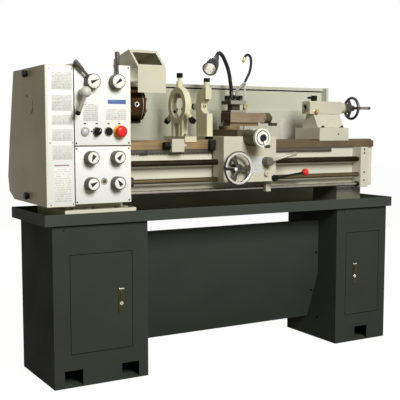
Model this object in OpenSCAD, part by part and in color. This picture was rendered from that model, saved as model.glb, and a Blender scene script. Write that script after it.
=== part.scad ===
// Metal-turning lathe on a two-cabinet stand, with steady rest, follow rest, work lamp and splash guard.
// Millimetres, +Z up, X along the bed with the headstock at -X, front of the machine at -Y.
// Origin: floor level, below the middle of the chip tray, straight under the spindle axis.

/* [Stand] */
// Height of the cabinets, floor to tray
stand_h = 656; // [620:1:700]
// Depth of the cabinets
cab_d = 388; // [370:1:410]
// Width of the left cabinet
cab_l_w = 414; // [400:1:430]
// Width of the right cabinet
cab_r_w = 310; // [300:1:325]
// Sheet thickness of the cabinets
cab_wall = 3; // [2:0.5:4]
// Thickness of the cabinet floor that takes the anchor bolts
cab_floor = 6; // [4:1:10]
// Lower edge of both doors
door_z = 136; // [120:1:160]
// Height of both doors
door_h = 400; // [360:1:440]
// Width of the left door
door_l_w = 270; // [250:1:280]
// Width of the right door
door_r_w = 206; // [190:1:215]
// Gap round each door
door_gap = 0.8; // [0.5:0.1:1]
// Anchor hole diameter
anchor_d = 18; // [14:1:22]
// Distance between the left cabinet's anchor holes along X
anchor_x = 250; // [230:1:270]
// Distance of the anchor holes from the cabinet's front and back
anchor_in = 30; // [25:1:40]
// How far the tray stands out past the cabinets in depth
tray_over = 16; // [8:1:30]
// Height of the tray's lip
tray_lip = 46; // [35:1:60]
// Sheet thickness of the tray
tray_wall = 3; // [2:0.5:4]
// Sheet thickness of the front panel between the cabinets
panel_wall = 3; // [2:0.5:4]
// Height of the splash guard above the tray floor
splash_h = 585; // [520:1:620]
// Sheet thickness of the splash guard
splash_wall = 2.5; // [2:0.5:4]

/* [Bed] */
// Length of the bed casting
bed_l = 1618; // [1560:1:1700]
// Width of the bed over its side walls
bed_w = 186; // [180:1:192]
// Height of the ways above the cabinets
bed_rise = 321; // [310:1:335]
// Thickness of the way flanges
way_t = 31; // [26:1:34]
// How far the ways stand out past the side walls
way_over = 12; // [8:1:14]
// Depth of the bed's side walls below the ways
web_h = 191; // [170:1:200]
// Height of the prismatic ways
vee_h = 9; // [6:1:11]

/* [Headstock] */
// Height of the spindle axis above the ways
centre_h = 160; // [156:1:164]
// Width of the headstock
head_w = 245; // [240:1:260]
// Distance of the front panel from the spindle axis
head_front = 180; // [172:1:186]
// Distance of the headstock's back from the spindle axis
head_back = 190; // [185:1:196]
// Height of the headstock above the spindle axis
head_top = 150; // [145:1:160]
// Wall thickness of the headstock casting
head_wall = 20; // [16:1:24]
// Height of the feed gearbox
gearbox_h = 229; // [220:1:235]
// Width of the end cover along X
cover_w = 115; // [105:1:125]
// Sheet thickness of the end cover
cover_wall = 3; // [2:0.5:4]

/* [Spindle and chuck] */
// Spindle diameter in its bearings
spindle_d = 60; // [54:1:66]
// Bore through the spindle
spindle_bore = 38; // [30:1:42]
// Outer diameter of the spindle bearings
bearing_d = 95; // [88:1:100]
// Chuck diameter
chuck_d = 162; // [150:1:166]
// Chuck body length
chuck_t = 83; // [75:1:90]
// Width of the chuck jaws
jaw_w = 20; // [16:1:24]

/* [Rods] */
// Leadscrew diameter
screw_d = 26; // [22:1:30]
// Feed rod diameter
feed_d = 21; // [18:1:24]
// Control rod diameter
control_d = 18; // [14:1:20]
// Distance of the rods from the spindle axis in depth
rod_y = 135; // [132:1:140]

/* [Carriage] */
// Width of the saddle and the apron
apron_w = 277; // [260:1:290]
// Height of the apron
apron_h = 172; // [165:1:176]
// Distance of the apron's front from the spindle axis
apron_front = 195; // [190:1:205]
// Saddle thickness above the ways
saddle_t = 24; // [22:1:30]
// Carriage handwheel diameter
wheel_d = 148; // [135:1:155]
// Width of the cross slide
cross_w = 112; // [100:1:120]
// Length of the cross slide
cross_l = 240; // [220:1:250]
// Cross slide thickness
cross_t = 29; // [26:1:32]
// Length of the top slide
top_l = 186; // [170:1:196]
// Width of the top slide
top_w = 84; // [76:1:90]
// Side of the four-way tool post
post_w = 82; // [72:1:86]
// Height of the four-way tool post
post_h = 55; // [48:1:62]

/* [Tailstock] */
// Quill diameter
quill_d = 40; // [36:1:44]
// Bore in the quill's nose
quill_bore = 24; // [20:1:25]
// Diameter of the tailstock's handwheel
tail_wheel_d = 118; // [105:1:125]

/* [Clearances] */
// Radial clearance of a running shaft
run = 0.05; // [0.02:0.01:0.1]
// Clearance of a sliding face
slip = 0.2; // [0.1:0.05:0.4]

/* [Hidden] */
$fn = 64;

// Half depth of the cabinets and of the tray
cd = cab_d / 2;
td = cd + tray_over;
// Ends of the tray, the headstock and the bed along X
tl = bed_l + 167;
tx0 = -tl / 2;
hx0 = tx0 + 136.5;
hx1 = hx0 + head_w;
bx1 = hx0 + bed_l;
// Heights of the tray floor, the ways, the spindle axis and the headstock top
tf = stand_h + tray_wall;
wz = stand_h + bed_rise;
sz = wz + centre_h;
ht = sz + head_top;
// Half widths of the bed's walls and of its ways
bw = bed_w / 2;
ww = bw + way_over;
web_z = wz - way_t - web_h;
vee_b = vee_h * 1.15;
vee_y = [-ww + 22, -ww + 49];
// Headstock front plane and the gearbox below it
hf = -head_front;
gb1 = wz - 12;
gb0 = gb1 - gearbox_h;
gb_wall = 12;
// Top of the bed's left foot, clear of the gearbox above it
foot_z = gb0 - 25;
// End cover
cov1 = hx0 - 0.8;
cov0 = cov1 - cover_w;
// Pivot of the flap over the hole for bar stock in the end cover
flap_p = [28, sz + 30];
// Cabinets and doors
cl0 = tx0 + 34.5;
cl1 = cl0 + cab_l_w;
cr1 = bx1 + 10.5;
cr0 = cr1 - cab_r_w;
dl0 = cl0 + (cab_l_w - door_l_w) / 2;
dl1 = dl0 + door_l_w;
dr0 = cr0 + (cab_r_w - door_r_w) / 2 + 7;
dr1 = dr0 + door_r_w;
door_top = door_z + door_h;
// Rods
ry = -rod_y;
screw_z = wz - 89;
feed_z = wz - 164;
ctrl_z = wz - 211;
journal = 10;
// End bracket of the rods
eb0 = bx1 - 125;
eb1 = eb0 + 46;
// Carriage
cc = hx1 + 575;
ax0 = cc - apron_w / 2;
ax1 = cc + apron_w / 2;
af = -apron_front;
az1 = wz - 5;
az0 = az1 - apron_h;
st = wz + saddle_t;
sad_back = bw + 30;
// Cross slide, swivel and top slide
sw_x = cc - 3;
cs0 = af + 15;
cs1 = cs0 + cross_l;
ct = st + cross_t;
sw_r = 48;
sw_y = -17;
sw_t = 17;
tb = ct + sw_t;
low_t = 15;
ts0 = cc - 18;
ts1 = ts0 + top_l;
tt = tb + 60;
tp_x = ts0 + post_w / 2 + 2;
tpt = tt + slip + post_h;
dove = 11;
crank_z = tb + 37;
cross_z = wz + 18;
// Tailstock
tq0 = bx1 - 362;
tb0 = tq0 + 28;
tb1 = tb0 + 178;
tail_x = bx1 - 57;
tail_split = wz + 63;
// Steady rest and carriage stop
sr0 = hx1 + 311;
sr1 = sr0 + 30;
cs_x0 = hx1 + 216;
cs_x1 = cs_x0 + 60;
// Follow rest
fr0 = ax0 + 14;
fr1 = fr0 + 30;
// Change gears
gm = 2.5;
nz_s = 48;
nz_i = 68;
nz_f = 30;
g0 = hx0 - 28;
g1 = hx0 - 11;
gf = [ry + 5, wz - 52];
gd = norm(gf - [0, sz]);
gu = (gf - [0, sz]) / gd;
ga1 = gm * (nz_s + nz_i) / 2;
ga2 = gm * (nz_i + nz_f) / 2;
gl = (ga1 * ga1 - ga2 * ga2 + gd * gd) / (2 * gd);
gh = sqrt(max(0, ga1 * ga1 - gl * gl));
gi = [0, sz] + gl * gu + gh * [-gu[1], gu[0]];
rot_s = 0;
rot_i = mate(rot_s, nz_s, nz_i, [0, sz], gi);
rot_f = mate(rot_i, nz_i, nz_f, gi, gf);
// Belt drive
pm = [head_back + 25, web_z + 75];
pi_c = [135, sz - 65];
rp_m = 38;
rp_i = 62;
px0 = hx0 - 76;
motor_r = 82;
// Guard over the chuck
gd_x0 = hx1 + 71;
gd_x1 = gd_x0 + 132;
gd_t = 2;
gd_y = 140;
gd_z = sz + 113;
chx1 = hx1 + 119;
chx0 = chx1 - chuck_t;
// Routes of the lamp's flexible arm and of the coolant hose, from the middle of the saddle
lamp_p = [[94, 105, 16], [94, 107, 80], [94, 110, 150], [93, 112, 218], [88, 112, 255], [83, 112, 285],
  [73, 111, 318], [60, 110, 345], [48, 107, 364], [36, 103, 377], [24, 99, 384], [12, 95, 385], [2, 90, 378],
  [-6, 86, 365]];
hose_p = [[152, 85, 251], [157, 85, 262], [166, 85, 278], [176, 85, 295], [183, 85, 315], [187, 85, 338],
  [188, 85, 355], [184, 85, 372], [175, 85, 382], [163, 85, 383], [153, 85, 374], [147, 85, 361],
  [142, 85, 349]];

// Places of the hand controls on the panel
sp1 = [hx0 + 73, sz + 82];
sp2 = [hx0 + 179, sz + 84];
dir_c = [hx0 + 34, sz + 39];
sw_z = sz - 114;
lamp_x = hx0 + 46;
mode_x = hx0 + 96;
jog_x = hx0 + 147;
stop_x = hx0 + 194;
kx = [hx0 + 66, hx0 + 180];
kz = [gb1 - 45, gb1 - 149];
ks = 9;
jaw_a = [0, 120, 240];
jaw_d = 20;
// Centres of the carriage handwheel, the half-nut lever and the start lever
wh = [ax0 + 52, wz - 113];
hn = [ax1 - 56, wz - 88];
sl = [ax1 - 10, wz - 163];

// Angle that puts a gear in mesh with its neighbour
function mate(ra, na, nb, ca, cb) =
  let (f = atan2(cb[1] - ca[1], cb[0] - ca[0]), p = (f - ra) * na / 360)
  f + 180 - (0.5 - p) * 360 / nb;
function unit(v) = v / norm(v);
// Rings of a round tube along a route
function ring(p, i, r, n) =
  let (t = unit(p[min(len(p) - 1, i + 1)] - p[max(0, i - 1)]))
  let (u = unit(cross(t, [0, 1, 0])), w = cross(t, u))
  [for (k = [0:n - 1]) p[i] + r * (cos(360 * k / n) * u + sin(360 * k / n) * w)];

module tube_along(p, r, n) {
  m = len(p);
  pts = [for (i = [0:m - 1]) each ring(p, i, r, n)];
  sides = [for (i = [0:m - 2]) for (k = [0:n - 1]) for (h = [0:1])
    let (a = i * n + k, b = i * n + (k + 1) % n) h == 0 ? [a, b + n, b] : [a, a + n, b + n]];
  ends = [[for (k = [0:n - 1]) k], [for (k = [n - 1:-1:0]) (m - 1) * n + k]];
  polyhedron(points = pts, faces = concat(sides, ends), convexity = 6);
}

module bx(x0, x1, y0, y1, z0, z1) {
  translate([x0, y0, z0]) cube([x1 - x0, y1 - y0, z1 - z0]);
}

module cx(x0, x1, y, z, r) {
  translate([x0, y, z]) rotate([0, 90, 0]) cylinder(h = x1 - x0, r = r);
}

module cy(x, y0, y1, z, r) {
  translate([x, y1, z]) rotate([90, 0, 0]) cylinder(h = y1 - y0, r = r);
}

module cz(x, y, z0, z1, r) {
  translate([x, y, z0]) cylinder(h = z1 - z0, r = r);
}

module exx(x0, x1) {
  translate([x0, 0, 0]) rotate([90, 0, 90]) linear_extrude(x1 - x0) children();
}

module exy(y0, y1) {
  translate([0, y1, 0]) rotate([90, 0, 0]) linear_extrude(y1 - y0) children();
}

// Straight-flanked gear outline
module gear2d(n, rot) {
  rp = gm * n / 2;
  half = 90 / n - 0.18 / rp * 57.3;
  tip = half - gm * 0.85 * 0.34 / rp * 57.3;
  root = half + gm * 1.2 * 0.34 / rp * 57.3;
  flank = [[-root, -1.2], [-tip, 0.85], [tip, 0.85], [root, -1.2]];
  rotate(rot) polygon([for (i = [0:n - 1]) for (q = flank)
    let (a = 360 * i / n + q[0], r = rp + gm * q[1]) [r * cos(a), r * sin(a)]]);
}

// Room for the prismatic ways under what slides on the bed
module vee_room(x0, x1) {
  for (y = vee_y) {
    exx(x0 - 1, x1 + 1) polygon([[y - vee_b - 1, wz - 1], [y - vee_b - 1, wz + slip], [y, wz + vee_h + 1.2],
      [y + vee_b + 1, wz + slip], [y + vee_b + 1, wz - 1]]);
  }
}

module cabinet(x0, x1, d0, d1, feet) {
  difference() {
    bx(x0, x1, -cd, cd, 0, stand_h);
    bx(x0 + cab_wall, x1 - cab_wall, -cd + cab_wall, cd - cab_wall, cab_floor, stand_h - cab_wall);
    bx(d0, d1, -cd - 1, -cd + cab_wall + 1, door_z, door_top);
    for (x = feet) {
      bx(x - 39, x + 39, -cd - 1, -cd + cab_wall + 1, cab_floor, 70);
      bx(x - 39, x + 39, cd - cab_wall - 1, cd + 1, cab_floor, 70);
      cz(x, -cd + anchor_in, -1, cab_floor + 1, anchor_d / 2);
      cz(x, cd - anchor_in, -1, cab_floor + 1, anchor_d / 2);
    }
    bx(x0 + 44, x0 + 50, -cd - 1, -cd + cab_wall + 1, stand_h - 22, stand_h - 16);
  }
}

module left_cabinet() {
  mid = (cl0 + cl1) / 2;
  color([0.24, 0.26, 0.24]) cabinet(cl0, cl1, dl0, dl1, [mid - anchor_x / 2, mid + anchor_x / 2]);
}

module right_cabinet() {
  color([0.24, 0.26, 0.24]) cabinet(cr0, cr1, dr0, dr1, [(cr0 + cr1) / 2 + 5]);
}

// Flush door leaf with its recessed swing-handle lock
module door(d0, d1, lock_x) {
  lz = door_z + door_h / 2;
  difference() {
    bx(d0 + door_gap, d1 - door_gap, -cd, -cd + cab_wall, door_z + door_gap, door_top - door_gap);
    bx(lock_x - 9, lock_x + 9, -cd - 1, -cd + cab_wall + 1, lz - 45, lz + 45);
  }
  for (z = [door_z + 28, door_top - 40]) {
    bx(d0 + door_gap + 14, d1 - door_gap - 14, -cd + cab_wall, -cd + cab_wall + 8, z, z + 12);
  }
}

module lock(lock_x) {
  lz = door_z + door_h / 2;
  bx(lock_x - 13, lock_x + 13, -cd - 2.5, -cd - 0.1, lz - 50, lz + 50);
  bx(lock_x - 8, lock_x + 8, -cd - 0.2, -cd + 14, lz - 44, lz + 44);
  bx(lock_x - 7, lock_x + 7, -cd - 6, -cd - 2.4, lz + 2, lz + 44);
  cy(lock_x, -cd - 5, -cd - 2.4, lz - 13, 7);
}

module left_door() {
  color([0.25, 0.27, 0.25]) door(dl0, dl1, dl1 - 50);
  color([0.25, 0.27, 0.25]) lock(dl1 - 50);
}

module right_door() {
  color([0.25, 0.27, 0.25]) door(dr0, dr1, dr0 + 54);
  color([0.25, 0.27, 0.25]) lock(dr0 + 54);
}

// Bent sheet between the cabinets, open under the tray
module front_panel() {
  t = panel_wall;
  top = stand_h - 66;
  color([0.22, 0.24, 0.22]) exx(cl1, cr0) polygon([[-55, top], [-55, 327], [27, 95], [50, 95], [50, 95 + t],
    [27 + t, 95 + t], [-55 + t, 327.6], [-55 + t, top - t], [-30, top - t], [-30, top]]);
}

module chip_tray() {
  color([0.23, 0.25, 0.23]) difference() {
    bx(tx0, -tx0, -td, td, stand_h, stand_h + tray_lip);
    bx(tx0 + tray_wall, -tx0 - tray_wall, -td + tray_wall, td - tray_wall, tf, stand_h + tray_lip + 1);
  }
}

// Back sheet with a step half way up, a hemmed top and a return at the right end
module splash_guard() {
  y1 = td - tray_wall;
  t = splash_wall;
  z1 = tf + splash_h;
  zs = tf + 468;
  x0 = hx1 + 11;
  x1 = bx1 - 87;
  color([0.66, 0.68, 0.62]) {
    exx(x0, x1) polygon([[y1 - 8, tf], [y1 - 8 + t, tf], [y1 - 8 + t, zs], [y1, zs], [y1, z1], [y1 - 12, z1],
      [y1 - 12, z1 - 15], [y1 - 12 + t, z1 - 15], [y1 - 12 + t, z1 - t], [y1 - t, z1 - t], [y1 - t, zs + t],
      [y1 - 8, zs + t]]);
    bx(x1, x1 + t, y1 - 44, y1, tf, z1);
    bx(x1, x1 + 14, y1 - 44, y1 - 44 + t, tf, z1);
  }
}

// Casting with two way flanges, cross ribs and a foot at each end
module bed() {
  ribs = floor((bed_l - 40) / 165);
  step = (bed_l - 40) / ribs;
  color([0.86, 0.85, 0.78]) {
    for (s = [-1, 1]) {
      exx(hx0, bx1) polygon([[s * (bw - 22), web_z], [s * bw, web_z], [s * bw, wz - way_t],
        [s * ww, wz - way_t], [s * ww, wz], [s * 40, wz], [s * 40, wz - way_t], [s * (bw - 22), wz - way_t]]);
    }
    for (y = vee_y) {
      exx(hx0, bx1) polygon([[y - vee_b, wz - 1], [y - vee_b, wz], [y, wz + vee_h], [y + vee_b, wz],
        [y + vee_b, wz - 1]]);
    }
    for (i = [0:ribs]) {
      bx(hx0 + 11 + i * step, hx0 + 29 + i * step, -bw + 21, bw - 21, web_z + 15, wz - way_t - 20);
    }
    bx(hx0, hx1, -bw, bw, foot_z - 0.01, web_z + 0.01);
    bx(hx0 - 36, hx1 + 30, -165, 165, tf, foot_z);
    bx(bx1 - 221, bx1 - 70, -bw, bw, tf, web_z + 0.01);
    feed_rack();
  }
}

// Toothed bar under the front way
module feed_rack() {
  p = 12.566;
  x0 = hx1 + 40;
  n = floor((bx1 - 260 - x0) / p);
  z1 = wz - way_t - slip;
  exy(-bw - 10, -bw - slip) polygon(concat([[x0 + n * p, z1], [x0, z1]],
    [for (i = [0:n - 1]) for (q = [[0, 22], [4.8, 22], [7.2, 14], [10.2, 14]])
      [x0 + i * p + q[0], z1 - q[1]]],
    [[x0 + n * p, z1 - 22]]));
}

module end_bracket() {
  color([0.86, 0.85, 0.78]) difference() {
    bx(eb0, eb1, ry - 20, -bw, ctrl_z - 16, wz - way_t);
    cx(eb0 - 1, eb1 + 1, ry, screw_z, journal + run);
    cx(eb0 - 1, eb1 + 1, ry, feed_z, 8 + run);
    cx(eb0 - 1, eb1 + 1, ry, ctrl_z, 7 + run);
    for (z = [screw_z + 46, screw_z + 28, feed_z + 10, feed_z - 29]) cy(eb0 + 23, ry - 21, ry - 14, z, 4.5);
  }
}

module lead_screw() {
  color([0.2, 0.18, 0.17]) {
    cx(hx1 - gb_wall, hx1 + 6, ry, screw_z, journal);
    cx(hx1 + 6, eb0 - 1, ry, screw_z, screw_d / 2);
    cx(eb0 - 1, eb1 - 2, ry, screw_z, journal);
  }
}

module feed_rod() {
  color([0.42, 0.4, 0.34]) {
    cx(hx1 - gb_wall, hx1 + 1, ry, feed_z, 8);
    cx(hx1 + 1, hx1 + 26, ry, feed_z, 20.5);
    cx(hx1 + 26, eb0 - 1, ry, feed_z, feed_d / 2);
    cx(eb0 - 1, eb1 - 2, ry, feed_z, 8);
  }
}

module control_rod() {
  color([0.5, 0.48, 0.44]) {
    cx(hx1 - gb_wall, hx1 + 1, ry, ctrl_z, 7);
    cx(hx1 + 1, eb0 - 16, ry, ctrl_z, control_d / 2);
    cx(eb0 - 16, eb0 - 1, ry, ctrl_z, 13);
    cx(eb0 - 1, eb1 - 2, ry, ctrl_z, 7);
  }
}

module headstock_case() {
  w = head_wall;
  color([0.93, 0.92, 0.86]) {
    difference() {
      union() {
        bx(hx0, hx1, hf, head_back, wz, ht);
        bx(hx0, hx1, hf, -ww - 0.3, gb1 + 2, wz + 1);
        cx(hx1 - w, gd_x1 + 12, gd_y, gd_z, 7);
        for (x = [lamp_x, mode_x, jog_x]) cy(x, hf - 7, hf + 1, sw_z, 17);
        cy(stop_x, hf - 8, hf + 1, sw_z, 25);
      }
      bx(hx0 + w, hx1 - w, hf + w, head_back - w, wz + w, ht - w);
      vee_room(hx0, hx1);
      cx(hx0 - 1, hx1 + 1, 0, sz, bearing_d / 2);
      cx(hx0 - 1, hx0 + w + 1, pi_c[0], pi_c[1], 12 + run);
      cx(hx0 - 1, hx0 + w - 2, gi[0], gi[1], 10 + run);
      for (p = [sp1, sp2, dir_c]) cy(p[0], hf - 1, hf + w + 1, p[1], ks + run);
      cy(mode_x, hf - 8, hf + w + 1, sw_z, 6 + run);
      cy(jog_x, hf - 8, hf + w + 1, sw_z, 6 + run);
      cy(jog_x, hf - 8, hf - 1, sw_z, 13.4);
      cy(stop_x, hf - 9, hf + w + 1, sw_z, 8 + run);
      cy(lamp_x, hf - 8, hf - 5, sw_z, 13);
    }
  }
}

module gearbox_case() {
  w = gb_wall;
  color([0.93, 0.92, 0.86]) difference() {
    bx(hx0, hx1, hf, -ww, gb0, gb1);
    bx(hx0 + w, hx1 - w, hf + w, -ww - w, gb0 + w, gb1 - w);
    cx(hx1 - w - 1, hx1 + 1, ry, screw_z, journal + run);
    cx(hx0 - 1, hx0 + w + 1, gf[0], gf[1], journal + run);
    cx(hx1 - w - 1, hx1 + 1, ry, feed_z, 8 + run);
    cx(hx1 - w - 1, hx1 + 1, ry, ctrl_z, 7 + run);
    for (x = kx) for (z = kz) cy(x, hf - 1, hf + w + 1, z, ks + run);
    cy((kx[0] + kx[1]) / 2 + 3, hf - 1, hf + 4, kz[1] + 8, 11);
  }
}

module gear_cover() {
  t = cover_wall;
  b = gb0 - 7;
  d = (ht - 9 - b) / 550;
  e = head_back;
  o = [[hf, b], [hf, ht - 8], [e + 22, ht - 11], [e + 94, b + 256 * d], [e + 126, b + 100 * d],
    [e + 110, b + 34], [e + 42, b + 3]];
  i = [[hf + t, b + t], [hf + t, ht - 8 - t], [e + 22 - t, ht - 11 - t], [e + 94 - t, b + 256 * d],
    [e + 126 - t, b + 100 * d], [e + 110 - t, b + 34 + t], [e + 42 - t, b + 3 + t]];
  color([0.55, 0.53, 0.45]) difference() {
    exx(cov0, cov1) polygon(o);
    exx(cov0 + t, cov1 + 1) polygon(i);
    cx(cov0 - 1, cov0 + t + 1, 33, ht - 32, 6 + slip);
    cx(cov0 - 1, cov0 + t + 1, 39, gb0 + 24, 6 + slip);
    cx(cov0 - 1, cov0 + t + 1, 0, sz, spindle_bore / 2 + 3);
    cx(cov0 - 1, cov0 + t + 1, flap_p[0], flap_p[1], 4 + slip);
  }
}

// Flap on one screw, over the hole for bar stock
module bore_flap() {
  y = flap_p[0];
  z = flap_p[1];
  color([0.6, 0.58, 0.5]) {
    exx(cov0 - 2.8, cov0 - 0.3) hull() {
      translate([4, sz - 10]) circle(spindle_bore / 2 + 17);
      translate(flap_p) circle(9);
    }
    cx(cov0 - 5, cov0 - 2.79, y, z, 5);
    cx(cov0 - 0.31, cov0 + cover_wall + 0.31, y, z, 4);
    cx(cov0 + cover_wall + 0.3, cov0 + cover_wall + 4.3, y, z, 7);
  }
}

module cover_knobs() {
  color([0.06, 0.06, 0.06]) for (p = [[33, ht - 32], [39, gb0 + 24]]) {
    cx(cov0 - 20, cov0 - 0.2, p[0], p[1], 15);
    cx(cov0 - 0.3, hx0 - 0.3, p[0], p[1], 6);
  }
}

module spindle() {
  color([0.5, 0.49, 0.47]) difference() {
    union() {
      cx(g0 - 8, hx1 + 2, 0, sz, spindle_d / 2);
      cx(hx1 + 2, chx0 - 15, 0, sz, 54);
      exx(g0, g1) translate([0, sz]) gear2d(nz_s, rot_s);
    }
    cx(g0 - 9, chx0, 0, sz, spindle_bore / 2);
  }
}

module spindle_bearings() {
  color([0.6, 0.6, 0.6]) for (x = [hx0, hx1 - head_wall]) difference() {
    cx(x, x + head_wall, 0, sz, bearing_d / 2 - 0.02);
    cx(x - 1, x + head_wall + 1, 0, sz, spindle_d / 2 + run);
  }
}

module chuck_body() {
  color([0.2, 0.14, 0.1]) difference() {
    union() {
      cx(chx0 - 15, chx0, 0, sz, chuck_d / 2 - 10);
      cx(chx0, chx1, 0, sz, chuck_d / 2);
    }
    cx(chx0 - 16, chx1 + 1, 0, sz, 21);
    for (a = jaw_a) {
      translate([0, 0, sz]) rotate([a, 0, 0]) bx(chx1 - jaw_d, chx1 + 1, 0, chuck_d, -jaw_w / 2, jaw_w / 2);
      translate([0, 0, sz]) rotate([a + 60, 0, 0]) cy(chx1 - 42, chuck_d / 2 - 22, chuck_d / 2 + 1, 0, 6.5);
    }
  }
}

module jaw(a) {
  w = jaw_w / 2 - 0.1;
  color([0.45, 0.43, 0.4]) translate([0, 0, sz]) rotate([a, 0, 0]) {
    bx(chx1 - jaw_d + 0.1, chx1 + 10, 21, chuck_d / 2 - 12, -w, w);
    bx(chx1 + 9, chx1 + 22, 21, 52, -w, w);
    bx(chx1 + 21, chx1 + 34, 21, 35, -w, w);
  }
}

module chuck_jaw_1() {
  jaw(jaw_a[0]);
}

module chuck_jaw_2() {
  jaw(jaw_a[1]);
}

module chuck_jaw_3() {
  jaw(jaw_a[2]);
}

// Hinged sheet hood with a window in its sloping front
module chuck_guard() {
  t = gd_t;
  f = -104;
  zb = sz + 48;
  zf = sz + 155;
  zr = sz + 233;
  zk = sz + 203;
  color([0.88, 0.85, 0.74]) difference() {
    union() {
      exx(gd_x0, gd_x1) polygon([[f, zb], [f, zf], [-16, zr], [gd_y, zk], [gd_y, gd_z + 9],
        [gd_y - t, gd_z + 9], [gd_y - t, zk - t], [-15, zr - t - 1], [f + t, zf - 1], [f + t, zb]]);
      exx(gd_x1 - t, gd_x1) polygon([[f, zb], [f, zf], [-16, zr], [gd_y, zk], [gd_y, gd_z], [60, gd_z]]);
      exx(gd_x0, gd_x0 + t) polygon([[f, zf - 4], [f, zf], [-16, zr], [gd_y, zk], [gd_y, zf - 4]]);
      cx(gd_x0, gd_x1, gd_y, gd_z, 11);
    }
    cx(gd_x0 - 1, gd_x1 + 1, gd_y, gd_z, 7 + run);
    bx(gd_x0 + 10, gd_x1 - 10, f + 12, -26, zf - 20, zr + 1);
  }
}

module motor() {
  m0 = hx0 + 8;
  m1 = hx1 - 4;
  color([0.3, 0.33, 0.32]) difference() {
    union() {
      cx(m0, m1, pm[0], pm[1], motor_r);
      bx(m0 + 40, m1 - 40, bw, pm[0] - motor_r + 12, pm[1] - 50, pm[1] + 50);
      bx(m0 + 60, m1 - 80, pm[0] - 55, pm[0] + 55, pm[1] + motor_r - 18, pm[1] + motor_r + 24);
    }
    cx(m0 - 1, m0 + 40, pm[0], pm[1], 11 + run);
  }
}

// Two-groove pulley on its shaft
module pulley(c, rp, x_end, rs) {
  difference() {
    cx(px0, px0 + 41, c[0], c[1], rp + 7);
    for (x = [px0 + 3, px0 + 22]) difference() {
      cx(x, x + 16, c[0], c[1], rp + 8);
      cx(x - 1, x + 17, c[0], c[1], rp);
    }
  }
  cx(px0 + 40, x_end, c[0], c[1], rs);
}

module motor_pulley() {
  color([0.35, 0.35, 0.36]) pulley(pm, rp_m, hx0 + 46, 11);
}

module input_pulley() {
  color([0.35, 0.35, 0.36]) pulley(pi_c, rp_i, hx0 + 55, 12);
}

// Outline round two pulleys
module belt2d(g) {
  d = pi_c - pm;
  f = atan2(d[1], d[0]);
  b = acos((rp_m - rp_i) / norm(d));
  r1 = rp_m + g;
  r2 = rp_i + g;
  translate(pm) circle(r = r1);
  translate(pi_c) circle(r = r2);
  polygon([pm + r1 * [cos(f + b), sin(f + b)], pi_c + r2 * [cos(f + b), sin(f + b)],
    pi_c + r2 * [cos(f - b), sin(f - b)], pm + r1 * [cos(f - b), sin(f - b)]]);
}

module drive_belts() {
  color([0.07, 0.07, 0.07]) for (x = [px0 + 4, px0 + 23]) exx(x, x + 14) difference() {
    belt2d(9);
    belt2d(0.3);
  }
}

module idler_gear() {
  color([0.5, 0.48, 0.45]) {
    exx(g0, g1) translate(gi) gear2d(nz_i, rot_i);
    cx(g1 - 1, hx0 + head_wall - 3, gi[0], gi[1], 10);
    cx(g0 - 5, g0 + 1, gi[0], gi[1], 16);
  }
}

module feed_gear() {
  color([0.5, 0.48, 0.45]) {
    exx(g0, g1) translate(gf) gear2d(nz_f, rot_f);
    cx(g0 - 6, hx0 + gb_wall + 3, gf[0], gf[1], journal);
  }
}

// Round control with a side lever, turning on a shaft in the panel
module lever_knob(p, a, reach) {
  color([0.5, 0.48, 0.42]) {
    cy(p[0], hf - 35, hf - 0.3, p[1], 30);
    cy(p[0], hf - 1, hf + head_wall, p[1], ks);
    translate([p[0], hf - 20, p[1]]) rotate([0, a, 0]) {
      cylinder(h = reach - 40, r = 6);
      translate([0, 0, reach - 50]) cylinder(h = 50, r1 = 8, r2 = 10);
    }
  }
}

module speed_lever_left() {
  lever_knob(sp1, -44, 108);
}

module speed_lever_right() {
  lever_knob(sp2, 0, 118);
}

module direction_lever() {
  color([0.6, 0.58, 0.52]) {
    cy(dir_c[0], hf - 40, hf - 0.3, dir_c[1], 14);
    cy(dir_c[0], hf - 1, hf + head_wall, dir_c[1], ks);
    translate([dir_c[0], hf - 42, dir_c[1]]) sphere(r = 23);
    translate([dir_c[0], hf - 46, dir_c[1]]) rotate([0, 203, 0]) {
      cylinder(h = 50, r = 6);
      translate([0, 0, 45]) cylinder(h = 52, r1 = 8, r2 = 10);
    }
  }
}

module mode_switch() {
  color([0.05, 0.05, 0.05]) {
    cy(mode_x, hf - 20, hf - 7.3, sw_z, 15);
    cy(mode_x, hf - 8, hf + head_wall + 4, sw_z, 6);
    translate([mode_x, 0, sw_z]) rotate([0, 35, 0]) bx(-5, 5, hf - 28, hf - 19, -15, 15);
  }
}

module jog_button() {
  color([0.05, 0.05, 0.05]) {
    cy(jog_x, hf - 11, hf - 5.5, sw_z, 13);
    cy(jog_x, hf - 6, hf + head_wall + 2, sw_z, 6);
  }
}

module estop_button() {
  color([0.85, 0.1, 0.08]) {
    translate([stop_x, hf - 20, sw_z]) rotate([90, 0, 0]) cylinder(h = 14, r1 = 21, r2 = 19);
    cy(stop_x, hf - 21, hf + head_wall + 2, sw_z, 8);
  }
}

module gear_knob(i, k) {
  color([0.5, 0.48, 0.42]) {
    cy(kx[i], hf - 37, hf - 0.3, kz[k], 27);
    cy(kx[i], hf - 1, hf + gb_wall + 3, kz[k], ks);
  }
}

module gear_knob_1() {
  gear_knob(0, 0);
}

module gear_knob_2() {
  gear_knob(1, 0);
}

module gear_knob_3() {
  gear_knob(0, 1);
}

module gear_knob_4() {
  gear_knob(1, 1);
}

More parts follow.
